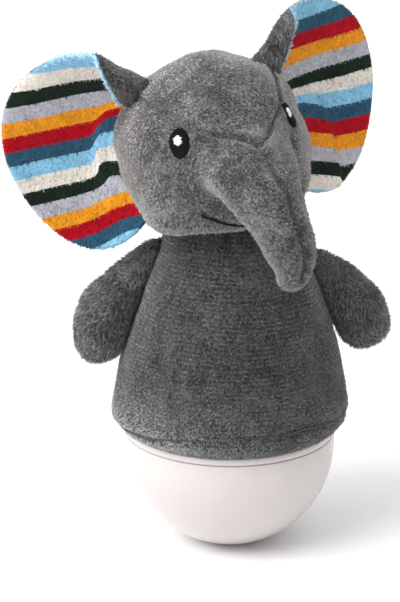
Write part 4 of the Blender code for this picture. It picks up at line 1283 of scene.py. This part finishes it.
def ear_axes(side):
    """In the head's frame, the middle of the ear's root, then outwards, up and forwards."""
    out = np.array((side * math.cos(SWEEP), math.sin(SWEEP), 0.0))
    front = np.array((side * math.sin(SWEEP), -math.cos(SWEEP), 0.0))
    return np.array((side * 44.0, 8.0, 0.0)), out, np.array((0.0, 0.0, 1.0)), front


def ear_middle(side, s, t):
    """Places midway between the ear's two layers."""
    base, out, up, front = ear_axes(side)
    line = EAR_ROOTS[side]
    at = np.minimum(t, 0.9999) * (len(line) - 1)
    low = at.astype(int)
    spot = line[low] + (line[low + 1] - line[low]) * (at - low)[:, None]
    root = head_surface(lonlat(side * spot[:, 0], spot[:, 1]), -5.0)
    angle = np.radians(EAR_START + (EAR_END - EAR_START) * np.minimum(1.0, t / EAR_TURN))
    lift = ramp(t, EAR_TURN, 1 - EAR_TURN)
    u = EAR_MIDDLE[0] + EAR_HALF[0] * np.cos(angle) + EAR_PEAR * np.sin(angle) * np.cos(angle)
    v = EAR_MIDDLE[1] + EAR_HALF[1] * np.sin(angle)
    if side > 0:
        u = u + 2.2 * ramp(v, -8.0, -22.0) - 1.7 * ramp(v, -8.0, 30.0) * (angle < 1.3)
    v = np.where(lift > 0, v + (EAR_FOLD_END[side][1] - v) * lift ** 1.2, v)
    u = np.where(lift > 0, u + (EAR_FOLD_END[side][0] - u) * lift ** 1.5, u)
    part = np.clip((t - EAR_TURN + 0.08) / 0.18, 0, 1)
    curl = EAR_CURL * part * part * (3 - 2 * part) * (1.0 - 0.6 * lift ** 2)
    rim = base + u[:, None] * out + v[:, None] * up + curl[:, None] * front
    point = root + (rim - root) * s[:, None]
    hollow = np.sin(math.pi * np.minimum(1.0, t / EAR_TURN)) * np.sin(math.pi * s ** 0.8) * EAR_HOLLOW
    return point - front * hollow[:, None]


def ear_plane(side, rows):
    """Place in the ear's own plane: out from the head, and up."""
    base, out, up, _ = ear_axes(side)
    away = rows - base
    return away @ out, away @ up


# %% [markdown]
# The stripes are counted in the plane of the ear. Near the head the striped cloth has a pleat: the
# inner part rides over the outer part, and the count of the stripes steps with it.

# %% The pleat and the stripes
def crease_line(side, v):
    """How far out from the head the pleat lies at each height."""
    if side < 0:
        return 10.3 - 0.014 * v ** 2 * (v > -14) - 2.7 * (v <= -14)
    return 23.0 - 0.011 * (v + 20.0) ** 2 * np.where(v > -20, 1.0, 0.6)


def stripe_count(side, u, v):
    """How many stripes lie above a place on the ear, with the step that its pleat makes."""
    crease = crease_line(side, v)
    if side < 0:
        wide = 0.9 + 4.2 * ramp(v, -6.0, -10.0)
        rise = 8.0 * ramp(v, 27.0, -8.0) / (1.0 + np.exp((u - crease) / wide))
        v = v - rise
        return 6.5907 - 0.14845 * v + 0.0001444 * v * v
    fade = ramp(v, 14.0, -10.0)
    rise = fade * (0.27 * np.clip(23.0 - u, 0, 30) + 0.08 * np.clip(36.0 - u, 0, 30)
                   + 1.3 / (1.0 + np.exp((u - crease) / 0.25)))
    low = np.clip(6.9 - v, 0, None)
    v = v - rise + 0.075 * low + 0.0006 * low * low
    return 6.4114 - 0.1504 * v + 0.000135 * v * v


def pleat_lift(side, u, v):
    """Height in mm by which the inner part of the striped cloth rides over the outer part."""
    inner = crease_line(side, v) - u
    if side < 0:
        fade = ramp(v, 24.0, -8.0) * ramp(v, -26.0, 14.0)
        return fade * 2.2 * np.exp(-np.clip(inner, 0, None) / 6.0) / (1.0 + np.exp(-inner / 0.9))
    fade = ramp(v, 16.0, -8.0)
    return fade * 3.2 * np.exp(-np.clip(inner, 0, None) / 9.0) / (1.0 + np.exp(-inner / 0.45))


# %% [markdown]
# Both layers follow the same middle surface and stand a little off it, the striped one to the front and
# the grey one to the back. Solidify then gives each the thickness of its cloth.

# %% Two layers of an ear
def ear_layer(side, sign, name, look, slot, node):
    """The striped layer has the sign 1 and the grey layer -1."""
    bm = bmesh.new()
    bmesh.ops.create_grid(bm, x_segments=52, y_segments=132, size=1.0)
    flat = np.array([v.co[:] for v in bm.verts])
    s, t = (flat[:, 0] + 1) / 2, (flat[:, 1] + 1) / 2
    small = 0.004
    here = ear_middle(side, s, t)
    ds = ear_middle(side, np.minimum(s + small, 1), t) - ear_middle(side, np.maximum(s - small, 0), t)
    dt = ear_middle(side, s, np.minimum(t + small, 1)) - ear_middle(side, s, np.maximum(t - small, 0))
    normal = unit(np.cross(ds, dt)) * side * sign
    edge = np.minimum(1.0 - s, 0.25) / 0.25
    amount = 0.68 + 0.95 * np.sqrt(np.clip(1 - (1 - edge) ** 2, 0, 1))
    u, v = ear_plane(side, here)
    on_blade = t < EAR_TURN - 0.03
    amount += np.where(on_blade, pleat_lift(side, u, v), 0.0) * (1.0 if sign > 0 else -0.6)
    amount += 1.5 * waves(here, 24.0, 41 + side) * np.minimum(s, 1 - s) * sign
    rows = here + normal * amount[:, None]
    for vert, place in zip(bm.verts, placed(HEAD_PLACE, rows)):
        vert.co = Vector(place) * MM
    bmesh.ops.recalc_face_normals(bm, faces=bm.faces)
    bm.faces.ensure_lookup_table()
    probe = bm.faces[len(bm.faces) // 2]
    wanted = HEAD_PLACE.to_3x3() @ Vector(normal[probe.verts[0].index])
    if probe.normal.dot(wanted) < 0:
        bmesh.ops.reverse_faces(bm, faces=bm.faces)
    obj = from_bmesh(name, bm, look)
    band = stripe_count(side, u, v)
    rim = ramp(s, 0.89, 0.06) * ramp(t, 0.60, 0.08)
    near_fold = ramp(s, 0.965, 0.02) * ramp(t, 0.66, 0.03)
    store(obj, "band", np.where(near_fold > 0.5, 0.5, band + 1.0 if side < 0 else 7.0 - band))
    store(obj, "rim", rim)
    store(obj, "inside", 1.0 - 0.75 * ramp(s, 0.86, 0.1) * ramp(t, 0.55, -0.1))
    step = obj.modifiers.new("cloth", "SOLIDIFY")
    step.thickness = 0.6 * MM
    step.offset = -1.0
    apply_modifiers(obj)
    belongs(obj, "cover", slot, node)
    return obj


ears = {}
for side, tag in ((1, "left"), (-1, "right")):
    name = "ear_" + tag
    front = ear_layer(side, 1, name + "_striped", looks["stripe"], "striped_plush", name + "_front")
    back = ear_layer(side, -1, name + "_grey", looks["ear"], "ear_plush", name + "_back")
    ears[name] = (side, front, back)


# %% [markdown]
# The striped pile hangs down and, close to the rim, spreads over the seam. Where the ear is folded
# forward, a fringe of the pale blue stripe stands out past the grey cloth.

# %% Pile of the ears
EAR_PILE_MIDDLE = (10.0, 5.0)
EAR_PILE_HALF = (41.0, 47.0)


def ear_flow(side, spread):
    """Down the ear, and outwards close to the rim."""
    def flow(root, up):
        _, out, high, _ = ear_axes(side)
        u, v = ear_plane(side, placed(inverse, root))
        u = u - EAR_PILE_MIDDLE[0]
        v = v - EAR_PILE_MIDDLE[1]
        ring = np.hypot(u / EAR_PILE_HALF[0], v / EAR_PILE_HALF[1])
        push = spread * ramp(ring, 0.86, 0.14) ** 2
        outward = u[:, None] * out + v[:, None] * high
        way = -high + unit(outward) * push[:, None]
        way = placed(HEAD_PLACE, way) - np.array(HEAD_PLACE.translation)
        return swirled(way, up, 0.3 * waves(root, 20.0, 51))
    return flow


def rim_flow(side):
    """Out past the rim, and upwards at the ear's top."""
    def flow(root, up):
        _, out, high, front = ear_axes(side)
        _, v = ear_plane(side, placed(inverse, root))
        way = out + np.clip((v - 38.0) / 10.0, -0.4, 1.4)[:, None] * high + 0.3 * front
        return placed(HEAD_PLACE, way) - np.array(HEAD_PLACE.translation)
    return flow


for name, (side, front, back) in ears.items():
    pile = grow_pile(name + "_striped_pile", front, 3.2, 1.5, 0.48, 60.0, ear_flow(side, 2.2),
                     looks["stripe pile"], 22, carry=("band",), clump=0.45)
    belongs(pile, "cover", "striped_plush")
    pile = grow_pile(name + "_grey_pile", back, 1.7, 2.3, 0.42, 50.0, ear_flow(side, 0.6),
                     looks["ear pile"], 23, clump=0.6, weight="inside")
    belongs(pile, "cover", "ear_plush")
    pile = grow_pile(name + "_rim_pile", front, 6.5, 3.3, 0.50, 74.0, rim_flow(side),
                     looks["rim pile"], 25, weight="rim")
    belongs(pile, "cover", "striped_plush")

# %% [markdown]
# # The arms
#
# The arms are mittens of the longer pile, stuffed and sewn into the side seams. The hand end is round
# and full, and the root is flattened against the body.

# %% Shape of an arm
# Marks along each arm, from the root down: how far out, z and radius.
ARM_LINES = {
    1: ((36.0, 130.8, 11.3), (46.5, 126.3, 11.8), (56.3, 117.5, 12.8), (62.4, 109.8, 13.1),
        (64.2, 104.8, 12.7)),
    -1: ((29.5, 140.6, 11.6), (43.4, 129.3, 12.0), (55.2, 118.9, 12.8), (59.7, 110.8, 13.1),
         (61.2, 103.8, 12.7))}
ARM_SIDES = 40
ARM_BACK = (6.0, 4.0)
ARM_FLAT = 0.62
# Rings of the round end, as parts of its radius.
ARM_TIP = (0.25, 0.5, 0.7, 0.85, 0.95)


def arm_axes(line, i, j):
    """Along the arm from one mark to another, and across it."""
    along = np.array((line[j][0] - line[i][0], 0.0, line[j][1] - line[i][1]))
    along /= np.linalg.norm(along)
    return along, np.array((-along[2], 0.0, along[0]))


def arm_rings(side):
    """Rings of points from the root, pressed on to the body, to the round end, and its tip."""
    turn = np.arange(ARM_SIDES) * 2 * math.pi / ARM_SIDES
    rings = []
    line = smooth_line(ARM_LINES[side], 5)
    for i, (x, z, radius) in enumerate(line):
        _, cross = arm_axes(line, max(i - 1, 0), min(i + 1, len(line) - 1))
        ring = np.array((x, 0.0, z)) + np.outer(np.sin(turn), cross) * radius
        part = i / (len(line) - 1)
        full = ARM_FLAT + (1.0 - ARM_FLAT) * min(1.0, 1.6 * part) ** 0.8
        ring[:, 1] += ARM_BACK[0] + (ARM_BACK[1] - ARM_BACK[0]) * part + radius * full * np.cos(turn)
        limit = body_radius(ring[:, 2]) + (0.2 if i else -1.5)
        near = np.hypot(ring[:, 0], ring[:, 1]) < limit
        pressed_x = np.sqrt(np.maximum(limit ** 2 - ring[:, 1] ** 2, 0))
        ring[:, 0] = np.where(near | (i == 0), pressed_x, ring[:, 0])
        rings.append(ring * (side, 1, 1))
    x, z, radius = line[-1]
    along, cross = arm_axes(line, -6, -1)
    for part in ARM_TIP:
        small = radius * math.sqrt(1 - part * part)
        ring = np.array((x, 0.0, z)) + along * radius * part + np.outer(np.sin(turn), cross) * small
        ring[:, 1] += ARM_BACK[1] + small * np.cos(turn)
        rings.append(ring * (side, 1, 1))
    return np.array(rings), (np.array((x, ARM_BACK[1], z)) + along * radius) * (side, 1, 1)


def arm_piece(side, tag):
    bm = ringed_ball(*arm_rings(side), Matrix.Identity(4))
    obj = from_bmesh("plush_arm_" + tag, bm, looks["arm"])
    rebuild(obj, 1.6)
    stuffed(obj, 3.0, 0.8, lambda p: np.hypot(p[:, 0], p[:, 1]) < body_radius(p[:, 2]) + 3.0)
    relaxed(obj, np.full(len(obj.data.vertices), 0.3), 3)
    refine(obj)
    rows = points_of(obj.data) / MM
    edge_seam = hill(rows[:, 1] - ARM_BACK[1], 0.9)
    pushed(obj, 0.5 * waves(rows, 17.0, 61) - 0.35 * edge_seam)
    return obj


def arm_flow(root, up):
    way = np.stack([np.sign(root[:, 0]) * 0.45, np.zeros(len(root)), np.full(len(root), -1.0)], 1)
    return swirled(way, up, 0.5 * waves(root, 14.0, 71) + 0.45 * waves(root, 5.0, 72))


for side, tag in ((1, "left"), (-1, "right")):
    arm = arm_piece(side, tag)
    pile = grow_pile("arm_" + tag + "_pile", arm, 2.8, 2.5, 0.42, 50.0, arm_flow, looks["arm pile"], 24,
                     clump=0.6)
    for obj in (arm, pile):
        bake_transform(obj)
    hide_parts("arm_" + tag + "_skin", "arm_" + tag + "_stuffing")


# %% [markdown]
# # Inside the cover
#
# Lifting the cover shows a plain woven lining and the elastic that grips the collar.

# %% Lining and elastic
near, far = COLLAR_R + LINING_GAP, COLLAR_R + LINING_OUT
bottom = HEM_Z + 4.6
outline = dome_line(DOME_R + 1.4, LIP_TOP_Z + 2.2, 16)[:-1]
outline += [(near, COLLAR_Z + 1.4), (far, COLLAR_Z), (far, bottom), (near, bottom), (near, COLLAR_Z)]
outline += [(collar_in, COLLAR_Z + LINING_GAP)]
outline += dome_line(DOME_R + LINING_GAP, LIP_TOP_Z + 1.4, 16)[:-1][::-1]
lining = spun("cover_lining", outline, lining_cloth, 120)
belongs(lining, "cover", "lining", "body_lining")
low, high = HEM_Z + 0.3, HEM_Z + 0.3 + 4.0
outline = [(near, low), (far, low), (far, high), (near, high)]
band = spun("hem_band", outline, elastic_cloth, 160)
rows = points_of(band.data) / MM
turn = np.arctan2(rows[:, 1], rows[:, 0])
pushed(band, 0.12 * np.sin(80 * turn))
belongs(band, "cover", "elastic", "hem_elastic")

# %% [markdown]
# # Stitches at the hem
#
# The hem's seam shows as a row of short dark stitches sunk in the pile.

# %% Hem stitches
turn = np.linspace(0, 2 * math.pi, 361)
z = HEM_Z + seam_height(turn)
radius = body_radius(z) - 1.0
line = np.stack([radius * np.cos(turn), radius * np.sin(turn), z], 1)
stitches("hem_stitches", line, 2.6, 0.9, dark_thread_and_seam_shade, "body_plush")

# %% [markdown]
# # Floor, light and camera
#
# A soft key light from the upper left, a faint lamp at the side and a pale world that is brighter above
# show the cloth as it is. The pale floor keeps the toy's shadow.

# %% Floor
floor_look, _, floor_shader, _ = blank("pale floor", 0.75)
floor_shader.inputs["Base Color"].default_value = (0.93, 0.93, 0.93, 1.0)
bm = bmesh.new()
just_under = Matrix.Translation((0, 0, -0.1 * MM))
bmesh.ops.create_grid(bm, x_segments=1, y_segments=1, size=3.0, matrix=just_under)
floor = from_bmesh("floor", bm, floor_look)
print("floor laid")

# %% World and lamps
world = bpy.data.worlds.new("studio")
bpy.context.scene.world = world
world.use_nodes = True
tree = world.node_tree
fill = tree.nodes["Background"]
toward = tree.nodes.new("ShaderNodeSeparateXYZ")
tree.links.new(tree.nodes.new("ShaderNodeTexCoord").outputs["Generated"], toward.inputs[0])
fill.inputs["Color"].default_value = (1.0, 1.0, 1.0, 1.0)
tree.links.new(ranged(tree, toward.outputs["Z"], 0.0, 1.0, 0.36, 1.15), fill.inputs["Strength"])
seen = tree.nodes.new("ShaderNodeBackground")
seen.inputs["Color"].default_value = (1.0, 1.0, 1.0, 1.0)
seen.inputs["Strength"].default_value = 1.0
rays = tree.nodes.new("ShaderNodeLightPath")
either = math_node(tree, "MAXIMUM", rays.outputs["Is Camera Ray"], rays.outputs["Is Glossy Ray"])
either = math_node(tree, "MAXIMUM", either, rays.outputs["Is Transmission Ray"])
mix = tree.nodes.new("ShaderNodeMixShader")
tree.links.new(either, mix.inputs["Fac"])
tree.links.new(fill.outputs[0], mix.inputs[1])
tree.links.new(seen.outputs[0], mix.inputs[2])
tree.links.new(mix.outputs[0], tree.nodes["World Output"].inputs["Surface"])


def lamp(name, kind, place, aim, soft, power):
    """A lamp at a place, aimed at another. soft is its angle for the sun, and else its size."""
    data = bpy.data.lights.new(name, kind)
    data.energy = power
    if kind == "SUN":
        data.angle = soft
    else:
        data.size = soft
    made = linked(name, data)
    made.location = place
    made.rotation_mode = "QUATERNION"
    made.rotation_quaternion = (Vector(aim) - Vector(place)).to_track_quat("-Z", "Y")


lamp("key", "SUN", (-1.0, -0.6, 1.2), (0, 0, 0.13), math.radians(40), 2.5)
lamp("side", "AREA", (-1.1, 0.1, 0.45), (0, 0, 0.15), 0.6, 4.0)
print("world and two lamps set")

# %% [markdown]
# **The camera** was fitted to the photograph. Its place is in metres, and right, up and back are its
# own three axes.

# %% Camera
CAMERA_PLACE = (-0.18341, -1.20344, 0.52631)
camera_data = bpy.data.cameras.new("camera")
camera_data.lens = 163.26
camera_data.sensor_width = 36.0
camera_data.clip_start = 0.1
camera_data.clip_end = 20.0
camera = linked("camera", camera_data)
right = Vector((0.990268, -0.139173, 0.0))
up = Vector((0.044160, 0.314217, 0.948324))
back = Vector((-0.131981, -0.939095, 0.317305))
turn = Matrix((right, up, back)).transposed().to_4x4()
camera.matrix_world = Matrix.Translation(CAMERA_PLACE) @ turn
bpy.context.scene.camera = camera
bpy.context.scene.view_settings.view_transform = "Standard"
print("camera at", CAMERA_PLACE)
